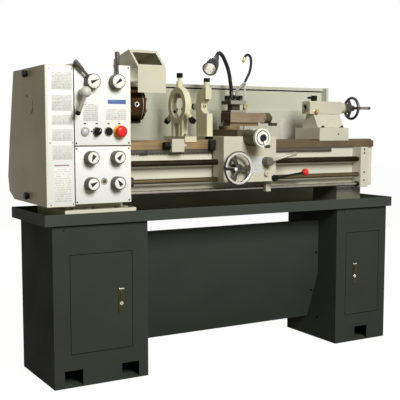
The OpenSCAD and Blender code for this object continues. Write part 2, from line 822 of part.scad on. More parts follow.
// Bridge casting over both ways, with the cross slide's dovetail on top
module saddle() {
  color([0.86, 0.85, 0.78]) difference() {
    union() {
      bx(ax0, ax1, af, sad_back, wz + slip, st);
      bx(ax0, ax1, af, -ww - 1, az1, st - 1);
      bx(ax0, ax1, ww + 1, sad_back, wz - way_t - 12, st - 1);
      bx(ax0 + 20, ax1 - 20, bw + 1, sad_back, wz - way_t - 12, wz - way_t - slip);
      exy(af + 6, sad_back) polygon([[sw_x - 24, st - 0.5], [sw_x - 29, st + dove], [sw_x + 29, st + dove],
        [sw_x + 24, st - 0.5]]);
    }
    vee_room(ax0, ax1);
    cy(sw_x, af - 1, af + 60, cross_z, 9);
  }
}

// Gear case hung in front of the bed, with the lug of the control rod
module apron() {
  w = 12;
  color([0.9, 0.89, 0.82]) difference() {
    union() {
      bx(ax0, ax1, af, -ww - 2, az0, az1);
      bx(ax1 - 26, ax1, ry - 22, ry + 22, ctrl_z - 15, az0 + 1);
      cy(ax1 - 54, af - 12, af + 1, wz - 140, 11);
    }
    bx(ax0 + w, ax1 - w, af + w, -ww + 1, az0 + w, az1 - w);
    cx(ax0 - 1, ax1 + 1, ry, screw_z, screw_d / 2 + 0.4);
    cx(ax0 - 1, ax1 + 1, ry, feed_z, feed_d / 2 + 0.4);
    cx(ax1 - 30, ax1 + 1, ry, ctrl_z, control_d / 2 + 0.4);
    cy(wh[0], af - 1, af + w + 1, wh[1], 10 + run);
    cy(hn[0], af - 1, af + w + 1, hn[1], 9 + run);
    cy(sl[0], af - 1, af + w + 1, sl[1], 8 + run);
  }
}

module carriage_wheel() {
  rr = wheel_d / 2 - 8;
  color([0.55, 0.54, 0.5]) {
    translate([wh[0], af - 38, wh[1]]) rotate([90, 0, 0]) {
      rotate_extrude() translate([rr, 0]) circle(r = 8, $fn = 24);
    }
    cy(wh[0], af - 46, af - 0.3, wh[1], 20);
    cy(wh[0], af - 1, af + 14, wh[1], 10);
    for (a = [90, 210, 330]) translate([wh[0], af - 38, wh[1]]) rotate([0, a, 0]) bx(-8, 8, -5, 5, 12, rr);
    cy(wh[0] - rr, af - 128, af - 38, wh[1], 9);
  }
}

module half_nut_lever() {
  color([0.4, 0.38, 0.34]) {
    cy(hn[0], af - 38, af - 0.3, hn[1], 20);
    cy(hn[0], af - 1, af + 14, hn[1], 9);
    translate([hn[0], af - 28, hn[1]]) rotate([0, 77, 0]) {
      cylinder(h = 110, r = 5);
      translate([0, 0, 100]) cylinder(h = 52, r1 = 6, r2 = 9);
    }
  }
}

module start_lever() {
  color([0.75, 0.08, 0.08]) {
    cy(sl[0], af - 20, af - 0.3, sl[1], 13);
    cy(sl[0], af - 1, af + 12, sl[1], 8);
    translate([sl[0], af - 14, sl[1]]) rotate([0, 82.5, 0]) {
      cylinder(h = 158, r = 5);
      translate([0, 0, 166]) sphere(r = 17);
    }
  }
}

module cross_slide() {
  color([0.3, 0.25, 0.2]) difference() {
    bx(sw_x - cross_w / 2, sw_x + cross_w / 2, cs0, cs1, st + slip, ct);
    exy(cs0 - 1, cs1 + 1) polygon([[sw_x - 24.2, st - 1], [sw_x - 29.6, st + dove + 0.3],
      [sw_x + 29.6, st + dove + 0.3], [sw_x + 24.2, st - 1]]);
  }
}

// Graduated drum and crank of the cross slide
module cross_crank() {
  color([0.28, 0.28, 0.24]) {
    cy(sw_x, af - 1, af + 55, cross_z, 9 - run);
    cy(sw_x, af - 84, af - 0.3, cross_z, 37);
    cy(sw_x, af - 100, af - 83, cross_z, 40);
    cy(sw_x, af - 108, af - 99, cross_z, 16);
    translate([sw_x, 0, cross_z]) rotate([0, 158, 0]) bx(-7, 7, af - 108, af - 99, 10, 47);
    translate([sw_x, 0, cross_z]) rotate([0, 158, 0]) cy(0, af - 130, af - 100, 39, 7);
  }
}

module swivel_base() {
  z = tb + low_t;
  color([0.5, 0.42, 0.32]) {
    cz(sw_x + 4, sw_y, ct + slip, tb, sw_r);
    bx(ts0 + 4, ts1 - 26, sw_y - 30, sw_y + 30, tb - 0.01, z);
    exx(ts0 + 4, ts1 - 26) polygon([[sw_y - 18, z - 0.5], [sw_y - 23, z + 10], [sw_y + 23, z + 10],
      [sw_y + 18, z - 0.5]]);
  }
}

module top_slide() {
  z = tb + low_t;
  color([0.62, 0.55, 0.48]) difference() {
    union() {
      bx(ts0, ts1, sw_y - top_w / 2, sw_y + top_w / 2, z + slip, tt);
      bx(ts1 - 1, ts1 + 12, sw_y - 26, sw_y + 26, z + 11, tt - 4);
    }
    exx(ts0 - 1, ts1 + 1) polygon([[sw_y - 18.2, z - 1], [sw_y - 23.6, z + 10.4], [sw_y + 23.6, z + 10.4],
      [sw_y + 18.2, z - 1]]);
    cx(ts1 - 30, ts1 + 13, sw_y, crank_z, 8);
  }
}

module top_crank() {
  color([0.4, 0.4, 0.34]) {
    cx(ts1 - 20, ts1 + 13, sw_y, crank_z, 8 - run);
    cx(ts1 + 12.3, ts1 + 52, sw_y, crank_z, 25);
    cx(ts1 + 51, ts1 + 66, sw_y, crank_z, 13);
    bx(ts1 + 55, ts1 + 65, sw_y - 7, sw_y + 7, crank_z - 36, crank_z);
    cx(ts1 + 64, ts1 + 100, sw_y, crank_z - 29, 8);
  }
}

// Four-way tool post with its clamping screws
module tool_post() {
  z0 = tt + slip;
  h = post_w / 2;
  color([0.5, 0.49, 0.46]) {
    bx(tp_x - h, tp_x + h, sw_y - h, sw_y + h, z0, z0 + 11);
    bx(tp_x - h, tp_x + h, sw_y - h, sw_y + h, tpt - 17, tpt);
    bx(tp_x - h + 20, tp_x + h - 20, sw_y - h + 20, sw_y + h - 20, z0 + 10, tpt - 16);
  }
  color([0.06, 0.06, 0.06]) for (a = [0:90:270]) for (s = [-1, 1]) {
    translate([tp_x, sw_y, 0]) rotate([0, 0, a]) cz(s * 16, h - 10, tpt + 0.1, tpt + 16, 6);
  }
}

module tool_lever() {
  color([0.55, 0.55, 0.52]) {
    cz(tp_x, sw_y, tpt + 0.3, tpt + 42, 11);
    translate([tp_x, sw_y, tpt + 34]) rotate([0, 52, 0]) {
      cylinder(h = 40, r = 5);
      translate([0, 0, 36]) cylinder(h = 40, r1 = 7, r2 = 9);
    }
  }
}

// Open frame on the saddle with a top and a back finger
module follow_rest() {
  x = (fr0 + fr1) / 2;
  color([0.62, 0.6, 0.48]) difference() {
    exx(fr0, fr1) polygon([[-28, st], [66, st], [68, st + 52], [75, sz], [62, sz + 54], [36, sz + 76],
      [-18, sz + 82], [-18, sz + 30], [-2, sz + 30], [20, sz + 14], [20, sz - 18], [-2, sz - 34],
      [-28, sz - 34]]);
    cz(x, 0, sz + 20, sz + 90, 7);
    cy(x, 10, 90, sz, 7);
  }
  color([0.62, 0.6, 0.48]) {
    cz(x, 0, sz + 26, sz + 83, 6.8);
    cz(x, 0, sz + 82.3, sz + 108, 13);
    cz(x, 0, sz + 107, sz + 124, 12);
    cy(x, 12, 76, sz, 6.8);
    cy(x, 75.3, 100, sz, 13);
    cy(x, 99, 116, sz, 12);
  }
}

// Ring on two legs with three radial fingers, clamped to the bed
module steady_rest() {
  x = (sr0 + sr1) / 2;
  color([0.62, 0.6, 0.48]) difference() {
    union() {
      cx(sr0, sr1, 0, sz, 80);
      bx(sr0, sr1, -48, -28, wz + 20, sz - 60);
      bx(sr0, sr1, 30, 50, wz + 20, sz - 60);
      bx(sr0 - 14, sr1 + 14, -ww + 4, ww - 4, wz + slip, wz + 24);
      cz(x, -62, wz + 23, wz + 34, 9);
      for (a = [90, 210, 330]) translate([0, 0, sz]) rotate([a, 0, 0]) cy(x, 74, 106, 0, 14);
    }
    cx(sr0 - 1, sr1 + 1, 0, sz, 54);
    for (a = [90, 210, 330]) translate([0, 0, sz]) rotate([a, 0, 0]) cy(x, 50, 120, 0, 8.2);
    vee_room(sr0 - 14, sr1 + 14);
  }
  color([0.1, 0.1, 0.1]) for (a = [90, 210, 330]) translate([0, 0, sz]) rotate([a, 0, 0]) {
    cy(x, 32, 112, 0, 8);
    cy(x, 106.3, 124, 0, 9);
    cy(x, 123, 142, 0, 12);
  }
}

// Clamp on the front way that stops the carriage, with its star knob and screw
module carriage_stop() {
  y0 = -ww - 28;
  ys = -ww - 18;
  color([0.88, 0.87, 0.82]) difference() {
    union() {
      bx(cs_x0, cs_x1, y0, -ww - 0.2, wz - way_t - 11, wz + 14);
      bx(cs_x0, cs_x1, y0, -ww + 10, wz + 0.2, wz + 14);
      bx(cs_x0, cs_x1, y0, -bw - 10.5, wz - way_t - 11, wz - way_t - 0.2);
    }
    cx(cs_x0 - 1, cs_x1 + 1, ys, wz - 15, 6.2);
  }
  color([0.1, 0.1, 0.1]) {
    cx(cs_x0 - 32, cs_x0 - 8, ys, wz - 15, 15);
    cx(cs_x0 - 9, cs_x1 + 14, ys, wz - 15, 6);
  }
}

// Lamp on a flexible arm, standing on the back of the saddle
module work_lamp() {
  p = [for (q = lamp_p) [cc + q[0], q[1], st + q[2]]];
  e = p[len(p) - 1];
  d = [-77, -67, -62];
  color([0.05, 0.05, 0.05]) {
    cz(p[0][0], p[0][1], st, p[0][2] - 0.1, 17);
    tube_along(p, 10, 12);
    translate(e) rotate([0, acos(d[2] / norm(d)), atan2(d[1], d[0])]) {
      rotate_extrude() polygon([[0, 0.4], [15, 0.4], [18, 26], [27, 56], [33, 86], [34, 119], [32, 119],
        [31, 87], [25, 58], [15, 34], [0, 34]]);
    }
  }
}

// Coolant pipe with its tap and a flexible spout
module coolant_pipe() {
  p = [for (q = hose_p) [cc + q[0], q[1], st + q[2]]];
  x = p[0][0];
  y = p[0][1];
  color([0.6, 0.55, 0.35]) {
    bx(ax1 - 20, x + 9, y - 10, y + 10, st, st + 12);
    cz(x, y, st + 11, st + 126, 5);
    cz(x, y, st + 124, st + 166, 9);
    bx(x - 4, x + 16, y - 4, y + 4, st + 140, st + 148);
    cz(x, y, st + 165, p[0][2] - 0.1, 4.5);
  }
  color([0.1, 0.1, 0.1]) tube_along(p, 6.5, 8);
}

// Base and body castings, with the quill clamp and the bed clamp lever
module tailstock() {
  color([0.88, 0.87, 0.8]) difference() {
    union() {
      bx(tb0, tb1, -ww + 8, ww - 8, wz + slip, tail_split - 0.1);
      bx(tb0 + 24, tb1 - 40, -34, 34, wz - way_t - 16, wz + slip + 1);
    }
    vee_room(tb0, tb1);
    bx(tb0 + 23, tb1 - 39, 30, 42, wz - way_t - 17, wz + slip);
    bx(tb0 + 23, tb1 - 39, -42, -30, wz - way_t - 17, wz + slip);
  }
  color([0.88, 0.87, 0.8]) difference() {
    union() {
      exx(tq0 + 18, tail_x - 88) polygon([[-31, sz - 31], [31, sz - 31], [31, sz + 26], [26, sz + 31],
        [-26, sz + 31], [-31, sz + 26]]);
      cx(tail_x - 89, tail_x - 62, 0, sz, 27);
      exx(tq0 + 44, tb1 - 1) polygon([[-62, tail_split], [62, tail_split], [27, sz - 30], [-27, sz - 30]]);
    }
    cx(tq0 + 17, tail_x - 96, 0, sz, quill_d / 2 + run);
    cx(tail_x - 97, tail_x - 61, 0, sz, 10 + run);
  }
  color([0.1, 0.1, 0.1]) {
    cz(tq0 + 66, 0, sz + 31.2, sz + 59, 9);
    translate([tq0 + 66, 0, sz + 50]) rotate([-90, 0, 0]) cylinder(h = 46, r = 6);
    cy(tq0 + 52, -50, -31.2, sz - 19, 9);
  }
}

module quill() {
  color([0.5, 0.49, 0.47]) difference() {
    cx(tq0 + 12, tq0 + 190, 0, sz, quill_d / 2);
    cx(tq0 + 11, tq0 + 102, 0, sz, quill_bore / 2);
  }
}

module tail_wheel() {
  rr = tail_wheel_d / 2 - 7;
  color([0.3, 0.3, 0.28]) {
    cx(tail_x - 100, tail_x - 61, 0, sz, 10);
    cx(tail_x - 61.7, tail_x - 20, 0, sz, 24);
    cx(tail_x - 21, tail_x + 12, 0, sz, 15);
    translate([tail_x, 0, sz]) rotate([0, 90, 0]) {
      rotate_extrude() translate([rr, 0]) circle(r = 7, $fn = 24);
    }
    for (a = [90, 210, 330]) translate([tail_x, 0, sz]) rotate([a, 0, 0]) bx(-5, 5, -7, 7, 10, rr);
    translate([tail_x, 0, sz]) rotate([90, 0, 0]) cx(0, 78, 0, rr, 8);
  }
}

left_cabinet();
right_cabinet();
left_door();
right_door();
front_panel();
chip_tray();
splash_guard();
bed();
end_bracket();
lead_screw();
feed_rod();
control_rod();
headstock_case();
gearbox_case();
gear_cover();
cover_knobs();
bore_flap();
spindle();
spindle_bearings();
chuck_body();
chuck_jaw_1();
chuck_jaw_2();
chuck_jaw_3();
chuck_guard();
motor();
motor_pulley();
input_pulley();
drive_belts();
idler_gear();
feed_gear();
speed_lever_left();
speed_lever_right();
direction_lever();
mode_switch();
jog_button();
estop_button();
gear_knob_1();
gear_knob_2();
gear_knob_3();
gear_knob_4();
saddle();
apron();
carriage_wheel();
half_nut_lever();
start_lever();
cross_slide();
cross_crank();
swivel_base();
top_slide();
top_crank();
tool_post();
tool_lever();
follow_rest();
steady_rest();
carriage_stop();
work_lamp();
coolant_pipe();
tailstock();
quill();
tail_wheel();
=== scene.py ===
import math

import bmesh
import bpy
from mathutils import Matrix, Vector


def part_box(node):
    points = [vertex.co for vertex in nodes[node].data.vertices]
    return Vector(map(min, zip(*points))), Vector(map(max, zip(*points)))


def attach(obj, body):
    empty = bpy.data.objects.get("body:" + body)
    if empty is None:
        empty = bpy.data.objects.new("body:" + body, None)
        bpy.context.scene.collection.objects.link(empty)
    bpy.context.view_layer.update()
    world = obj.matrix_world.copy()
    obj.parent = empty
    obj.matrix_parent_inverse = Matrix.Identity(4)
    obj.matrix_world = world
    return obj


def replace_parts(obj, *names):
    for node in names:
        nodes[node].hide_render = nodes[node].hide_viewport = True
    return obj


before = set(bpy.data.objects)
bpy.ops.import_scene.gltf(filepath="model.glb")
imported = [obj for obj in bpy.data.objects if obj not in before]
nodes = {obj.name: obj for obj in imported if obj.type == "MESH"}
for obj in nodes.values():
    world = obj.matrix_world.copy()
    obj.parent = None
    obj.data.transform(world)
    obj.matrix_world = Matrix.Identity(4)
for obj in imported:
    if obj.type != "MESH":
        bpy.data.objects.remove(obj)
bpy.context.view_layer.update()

# Studio: a pale floor, a soft lamp high in front, a weaker one behind on the right and weak warm light
# from all round, so that the faces that look to the left lie in shade.
# The camera stands where the photograph was taken from.
scene = bpy.context.scene
scene.view_settings.view_transform = "Standard"
frame_px = 400
focal_px = 809.86
centre_px = (195.51, 208.97)
heading = math.radians(29.93)
tilt_down = math.radians(5.62)
camera_data = bpy.data.cameras.new("photo_camera")
camera_data.sensor_width = 36.0
camera_data.lens = camera_data.sensor_width * focal_px / frame_px
camera_data.shift_x = 0.5 - centre_px[0] / frame_px
camera_data.shift_y = centre_px[1] / frame_px - 0.5
camera_data.clip_end = 60.0
camera = bpy.data.objects.new("photo_camera", camera_data)
camera.location = (-1.9333, -3.1785, 1.0319)
camera.rotation_euler = (math.pi / 2 - tilt_down, 0.0, -heading)
scene.collection.objects.link(camera)
scene.camera = camera


def shade(tree, kind, feeds=None, **settings):
    """Adds a shader node, with its settings and what feeds each of its sockets: a value or another output."""
    made = tree.nodes.new("ShaderNode" + kind)
    for name, value in settings.items():
        setattr(made, name, value)
    for key, value in (feeds or {}).items():
        if isinstance(value, bpy.types.NodeSocket):
            tree.links.new(value, made.inputs[key])
        else:
            made.inputs[key].default_value = value
    return made


def larger(tree, a, b):
    return shade(tree, "Math", {0: a, 1: b}, operation="MAXIMUM").outputs[0]


def seen_directly(tree):
    """1 for rays from the camera, from gloss and through glass, which should meet the pale backdrop."""
    rays = shade(tree, "LightPath").outputs
    seen = larger(tree, rays["Is Camera Ray"], rays["Is Glossy Ray"])
    return larger(tree, seen, rays["Is Transmission Ray"])


air = bpy.data.worlds.new("studio_air")
scene.world = air
air.use_nodes = True
air.node_tree.nodes.clear()
fill = shade(air.node_tree, "Background", {"Color": (1.0, 0.885, 0.50, 1), "Strength": 0.138})
backdrop = shade(air.node_tree, "Background", {"Color": (1, 1, 1, 1), "Strength": 1.0})
feeds = {0: seen_directly(air.node_tree), 1: fill.outputs[0], 2: backdrop.outputs[0]}
sky = shade(air.node_tree, "MixShader", feeds)
shade(air.node_tree, "OutputWorld", {"Surface": sky.outputs[0]})

lamp_aim = Vector((0.0, 0.0, 0.85))
lamps = {
    "key_lamp": ((-0.35, -3.8, 3.0), (1.5, 1.9), 205.0),
    "back_lamp": ((1.5, 3.8, 2.6), (2.4, 1.8), 120.0),
}
for name, (stand_at, size, power) in lamps.items():
    lamp_data = bpy.data.lights.new(name, "AREA")
    lamp_data.shape = "RECTANGLE"
    lamp_data.size, lamp_data.size_y = size
    lamp_data.energy = power
    lamp_data.color = (1.0, 0.99, 0.96)
    lamp = bpy.data.objects.new(name, lamp_data)
    lamp.location = stand_at
    lamp.rotation_euler = (lamp_aim - lamp.location).to_track_quat("-Z", "Y").to_euler()
    scene.collection.objects.link(lamp)

floor_half = 14.0
floor_drop = 0.0005
floor_shape = bmesh.new()
bmesh.ops.create_grid(floor_shape, x_segments=1, y_segments=1, size=floor_half)
floor_mesh = bpy.data.meshes.new("studio_floor")
floor_shape.to_mesh(floor_mesh)
floor_shape.free()
floor = bpy.data.objects.new("studio_floor", floor_mesh)
floor.location.z = -floor_drop
scene.collection.objects.link(floor)
floor_paint = bpy.data.materials.new("studio_floor")
floor_paint.use_nodes = True
floor_tree = floor_paint.node_tree
floor_tree.nodes.clear()
dim = shade(floor_tree, "BsdfDiffuse", {"Color": (0.17, 0.15, 0.11, 1)})
matt = shade(floor_tree, "BsdfDiffuse", {"Color": (0.9, 0.9, 0.9, 1)})
glow = shade(floor_tree, "Emission", {"Color": (1, 1, 1, 1), "Strength": 1.025})
paper = shade(floor_tree, "MixShader", {0: 0.95, 1: matt.outputs[0], 2: glow.outputs[0]})
feeds = {0: seen_directly(floor_tree), 1: dim.outputs[0], 2: paper.outputs[0]}
lit = shade(floor_tree, "MixShader", feeds)
shade(floor_tree, "OutputMaterial", {"Surface": lit.outputs[0]})
floor_mesh.materials.append(floor_paint)

# Stand: two folded-sheet cabinets, a chip tray and the bent panel screwed between them, sprayed grey-green.
# The spray film has a fine peel, is a little uneven, and is rubbed to bare steel along the edges.


def effect(name, inputs, outputs):
    """A shader node group with named sockets, for an effect that several finishes share."""
    tree = bpy.data.node_groups.new(name, "ShaderNodeTree")
    for label, value in inputs.items():
        kind = "NodeSocketVector" if isinstance(value, tuple) else "NodeSocketFloat"
        tree.interface.new_socket(label, in_out="INPUT", socket_type=kind).default_value = value
    for label in outputs:
        tree.interface.new_socket(label, in_out="OUTPUT", socket_type="NodeSocketFloat")
    return tree, tree.nodes.new("NodeGroupInput").outputs, tree.nodes.new("NodeGroupOutput").inputs


def spread(tree, value, low, high, to_low=0.0, to_high=1.0):
    feeds = {"Value": value, "From Min": low, "From Max": high, "To Min": to_low, "To Max": to_high}
    return shade(tree, "MapRange", feeds).outputs["Result"]


def mottle(tree, vector, scale, detail=3.0):
    return shade(tree, "TexNoise", {"Vector": vector, "Scale": scale, "Detail": detail}).outputs["Fac"]


def times(tree, a, b):
    return shade(tree, "Math", {0: a, 1: b}, operation="MULTIPLY").outputs[0]


def place_on(tree):
    return shade(tree, "TexCoord").outputs["Object"]


spray_film, given, put = effect("spray_film", {"Peel Per Metre": 700.0}, ["Height", "Tone", "Speck"])
at = place_on(spray_film)
spray_film.links.new(mottle(spray_film, at, given["Peel Per Metre"], 2.0), put["Height"])
spray_film.links.new(spread(spray_film, mottle(spray_film, at, 5.0), 0.3, 0.7), put["Tone"])
spray_film.links.new(spread(spray_film, mottle(spray_film, at, 420.0, 0.0), 0.72, 0.8), put["Speck"])

edge_rub, given, put = effect("edge_rub", {"Width": 0.003}, ["Mask"])
rounded = shade(edge_rub, "Bevel", {"Radius": given["Width"]}, samples=4).outputs["Normal"]
flat = shade(edge_rub, "NewGeometry").outputs["Normal"]
turn = shade(edge_rub, "VectorMath", {0: rounded, 1: flat}, operation="DOT_PRODUCT").outputs["Value"]
patchy = mottle(edge_rub, place_on(edge_rub), 60.0)
corner = spread(edge_rub, turn, 0.985, 0.84)
edge_rub.links.new(times(edge_rub, corner, spread(edge_rub, patchy, 0.42, 0.66)), put["Mask"])

settled_dust, given, put = effect("settled_dust", {"Amount": 0.2}, ["Mask"])
facing = shade(settled_dust, "NewGeometry").outputs["Normal"]
upward = shade(settled_dust, "SeparateXYZ", {0: facing}).outputs["Z"]
drift = mottle(settled_dust, place_on(settled_dust), 14.0)
lying = times(settled_dust, spread(settled_dust, upward, 0.4, 0.95), spread(settled_dust, drift, 0.35, 0.7))
settled_dust.links.new(times(settled_dust, lying, given["Amount"]), put["Mask"])


def place(tree, group, **values):
    """Puts a shared effect into a finish, with that finish's own values."""
    made = tree.nodes.new("ShaderNodeGroup")
    made.node_tree = group
    for label, value in values.items():
        made.inputs[label.replace("_", " ")].default_value = value
    return made.outputs


def tint(tree, factor, low, high):
    """One of two colours, or a mix of them, by a mask."""
    low = low if isinstance(low, bpy.types.NodeSocket) else (*low, 1.0)
    high = high if isinstance(high, bpy.types.NodeSocket) else (*high, 1.0)
    return shade(tree, "Mix", {0: factor, 6: low, 7: high}, data_type="RGBA").outputs[2]


def finish_of(name, sheen):
    """An empty material with its one Principled shader."""
    made = bpy.data.materials.new(name)
    made.use_nodes = True
    made.node_tree.nodes.clear()
    skin = shade(made.node_tree, "BsdfPrincipled", {"Specular IOR Level": sheen})
    shade(made.node_tree, "OutputMaterial", {"Surface": skin.outputs[0]})
    return made, made.node_tree, skin.inputs


def wire(tree, skin, colour, rough, height, strength, depth):
    """Leads a finish's colour, roughness and fine relief to its shader."""
    bump = shade(tree, "Bump", {"Height": height, "Strength": strength, "Distance": depth})
    for socket, value in (("Base Color", colour), ("Roughness", rough), ("Normal", bump.outputs[0])):
        tree.links.new(value, skin[socket])


def darker(colour, share):
    return tuple(channel * share for channel in colour)


dust_grey = (0.42, 0.40, 0.36)


def enamel(name, colour, bare, peel=620.0, gloss=0.32, wear=0.5, dust=0.05, sheen=0.15):
    """Sprayed paint over metal: uneven tone, fine peel, rubbed edges, a little dust on what faces up."""
    made, tree, skin = finish_of(name, sheen)
    film = place(tree, spray_film, Peel_Per_Metre=peel)
    coat = tint(tree, film["Tone"], darker(colour, 0.93), darker(colour, 1.04))
    coat = tint(tree, times(tree, film["Speck"], 0.25), coat, darker(colour, 0.7))
    coat = tint(tree, place(tree, settled_dust, Amount=dust)["Mask"], coat, dust_grey)
    rub = times(tree, place(tree, edge_rub, Width=0.0025)["Mask"], wear)
    rough = spread(tree, film["Tone"], 0.0, 1.0, gloss + 0.05, gloss - 0.04)
    wire(tree, skin, tint(tree, rub, coat, bare), rough, film["Height"], 0.12, 0.0004)
    return made


def dress(name, finish, edge):
    """Gives a solid its finish and the small rounded edges that catch the light."""
    solid = nodes[name]
    solid.data.materials.clear()
    solid.data.materials.append(finish)
    solid.modifiers.new("join", "WELD").merge_threshold = 0.00002
    facets = solid.modifiers.new("facets", "DECIMATE")
    facets.decimate_type = "DISSOLVE"
    facets.angle_limit = math.radians(0.6)
    rounding = solid.modifiers.new("edge", "BEVEL")
    rounding.width = edge
    rounding.segments = 2
    rounding.limit_method = "ANGLE"
    rounding.angle_limit = math.radians(38)
    solid.modifiers.new("shading", "WEIGHTED_NORMAL")


stand_colour = (0.047, 0.0535, 0.046)
bare_steel = (0.34, 0.32, 0.29)
tray_colour = darker(stand_colour, 1.3)
worn_steel = darker(bare_steel, 0.35)
stand_enamel = enamel("stand_enamel", stand_colour, worn_steel, 520.0, 0.55, dust=0.08, sheen=0.008)
tray_enamel = enamel("tray_enamel", tray_colour, worn_steel, 520.0, 0.5, dust=0.08, sheen=0.015)
for name in ("left_cabinet", "right_cabinet", "left_door", "right_door"):
    dress(name, stand_enamel, 0.0014)
dress("front_panel", stand_enamel, 0.0012)
dress("chip_tray", tray_enamel, 0.0012)

# Door locks: a pressed bronze dish in each door with a swing handle and a bright round key plug.
# Hidden rivets hold them. A thin black frame round each door is painted shadow in the gap round it, and black
# screws hold the panel.
front = (0, -1, 0)
left = (-1, 0, 0)


def span(name):
    """Low and high corner of a solid in millimetres; shapes are drawn in millimetres and scaled in make()."""
    low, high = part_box(name)
    return [v * 1000 for v in low], [v * 1000 for v in high]


def make(name, shape, finish, body, crease=38):
    """Turns a shape drawn in millimetres into a piece that rides on a body of the machine."""
    mesh = bpy.data.meshes.new(name)
    bmesh.ops.scale(shape, vec=(0.001, 0.001, 0.001), verts=shape.verts)
    bmesh.ops.recalc_face_normals(shape, faces=shape.faces)
    shape.to_mesh(mesh)
    shape.free()
    mesh.polygons.foreach_set("use_smooth", [True] * len(mesh.polygons))
    mesh.set_sharp_from_angle(angle=math.radians(crease))
    mesh.materials.append(finish)
    made = bpy.data.objects.new(name, mesh)
    scene.collection.objects.link(made)
    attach(made, body)
    return made


def block(shape, low, high, rounding=0.0):
    """A bar or plate between two corners, with rounded edges."""
    low = Vector(low)
    size = Vector(high) - low
    place_at = Matrix.Translation(low + size / 2) @ Matrix.Diagonal((*size, 1.0))
    corners = bmesh.ops.create_cube(shape, size=1.0, matrix=place_at)["verts"]
    if rounding:
        edges = list({edge for corner in corners for edge in corner.link_edges})
        bmesh.ops.bevel(shape, geom=edges, offset=rounding, segments=2, profile=0.5, affect="EDGES")


def frame_on(axis):
    """A direction and two directions square to it and to each other."""
    along = Vector(axis).normalized()
    across = along.orthogonal().normalized()
    return along, across, along.cross(across)


def skinned(shape, rings, closed=True):
    """Faces between neighbouring rings of points and, if closed, over the first and the last ring."""
    for lower, upper in zip(rings, rings[1:]):
        count = len(lower)
        for k in range(count):
            corners = [lower[k], lower[(k + 1) % count], upper[(k + 1) % count], upper[k]]
            unlike = list(dict.fromkeys(corners))
            if len(unlike) > 2:
                shape.faces.new(unlike)
    for ring in (rings[0], rings[-1]):
        if closed and len(set(ring)) > 2:
            shape.faces.new(ring)


def round_way(across, third, turn):
    """The direction at an angle round an axis, between two directions square to it."""
    return across * math.cos(turn) + third * math.sin(turn)


def turned(shape, profile, start, axis, sides=40, closed=True):
    """A lathe-turned form: pairs of distance along the axis and radius, spun about the axis."""
    along, across, third = frame_on(axis)
    ways = [round_way(across, third, 2 * math.pi * k / sides) for k in range(sides)]
    rings = []
    for distance, radius in profile:
        middle = Vector(start) + along * distance
        if radius < 1e-6:
            rings.append([shape.verts.new(middle)] * sides)
        else:
            rings.append([shape.verts.new(middle + way * radius) for way in ways])
    skinned(shape, rings, closed)


def moulded(name, colour, gloss, tone=0.12, grain=1400.0, sheen=0.4):
    """Plastic, rubber or printed film: a fine moulded grain and a little unevenness in tone and gloss."""
    made, tree, skin = finish_of(name, sheen)
    film = place(tree, spray_film, Peel_Per_Metre=grain)
    coat = tint(tree, film["Tone"], darker(colour, 1.0 - tone), darker(colour, 1.0 + tone))
    coat = tint(tree, place(tree, settled_dust, Amount=0.06)["Mask"], coat, dust_grey)
    rough = spread(tree, film["Tone"], 0.0, 1.0, gloss + 0.07, gloss - 0.05)
    wire(tree, skin, coat, rough, film["Height"], 0.1, 0.0003)
    return made


grain_per_metre = {"Lines Per Metre": (40.0, 40.0, 900.0)}
machined_grain, given, put = effect("machined_grain", grain_per_metre, ["Height", "Tone"])
feeds = {0: place_on(machined_grain), 1: given["Lines Per Metre"]}
drawn = shade(machined_grain, "VectorMath", feeds, operation="MULTIPLY").outputs[0]
machined_grain.links.new(mottle(machined_grain, drawn, 1.0, 2.0), put["Height"])
machined_grain.links.new(spread(machined_grain, mottle(machined_grain, drawn, 0.35), 0.3, 0.7), put["Tone"])

oil_film, given, put = effect("oil_film", {"Patches Per Metre": 9.0, "Amount": 0.5}, ["Mask"])
patches = mottle(oil_film, place_on(oil_film), given["Patches Per Metre"], 5.0)
oil_film.links.new(times(oil_film, spread(oil_film, patches, 0.42, 0.66), given["Amount"]), put["Mask"])


def steel(name, colour, gloss, lines, oil=0.5, oiled=(0.10, 0.075, 0.05), metal=1.0, sheen=0.4):
    """Machined metal: cutting lines along one direction, brown oil film in patches, bright rubbed edges."""
    made, tree, skin = finish_of(name, sheen)
    grain = place(tree, machined_grain, Lines_Per_Metre=lines)
    film = place(tree, oil_film, Amount=oil)["Mask"]
    face = tint(tree, grain["Tone"], darker(colour, 0.82), darker(colour, 1.12))
    face = tint(tree, film, face, oiled)
    rub = times(tree, place(tree, edge_rub, Width=0.0012)["Mask"], 0.6)
    rough = spread(tree, grain["Tone"], 0.0, 1.0, gloss + 0.08, gloss - 0.05)
    wire(tree, skin, tint(tree, rub, face, darker(colour, 1.3)), rough, grain["Height"], 0.12, 0.0003)
    tree.links.new(spread(tree, film, 0.0, 1.0, metal, metal * 0.7), skin["Metallic"])
    return made


def screw_head(shape, at_mm, axis, radius, proud=2.0):
    """A round socket-head screw standing proud of a face."""
    socket = radius * 0.45
    profile = [(-0.6, radius), (proud - 0.5, radius), (proud, radius - 0.5), (proud, socket),
               (proud * 0.3, socket), (proud * 0.3, 0.0)]
    turned(shape, profile, at_mm, axis, 18)


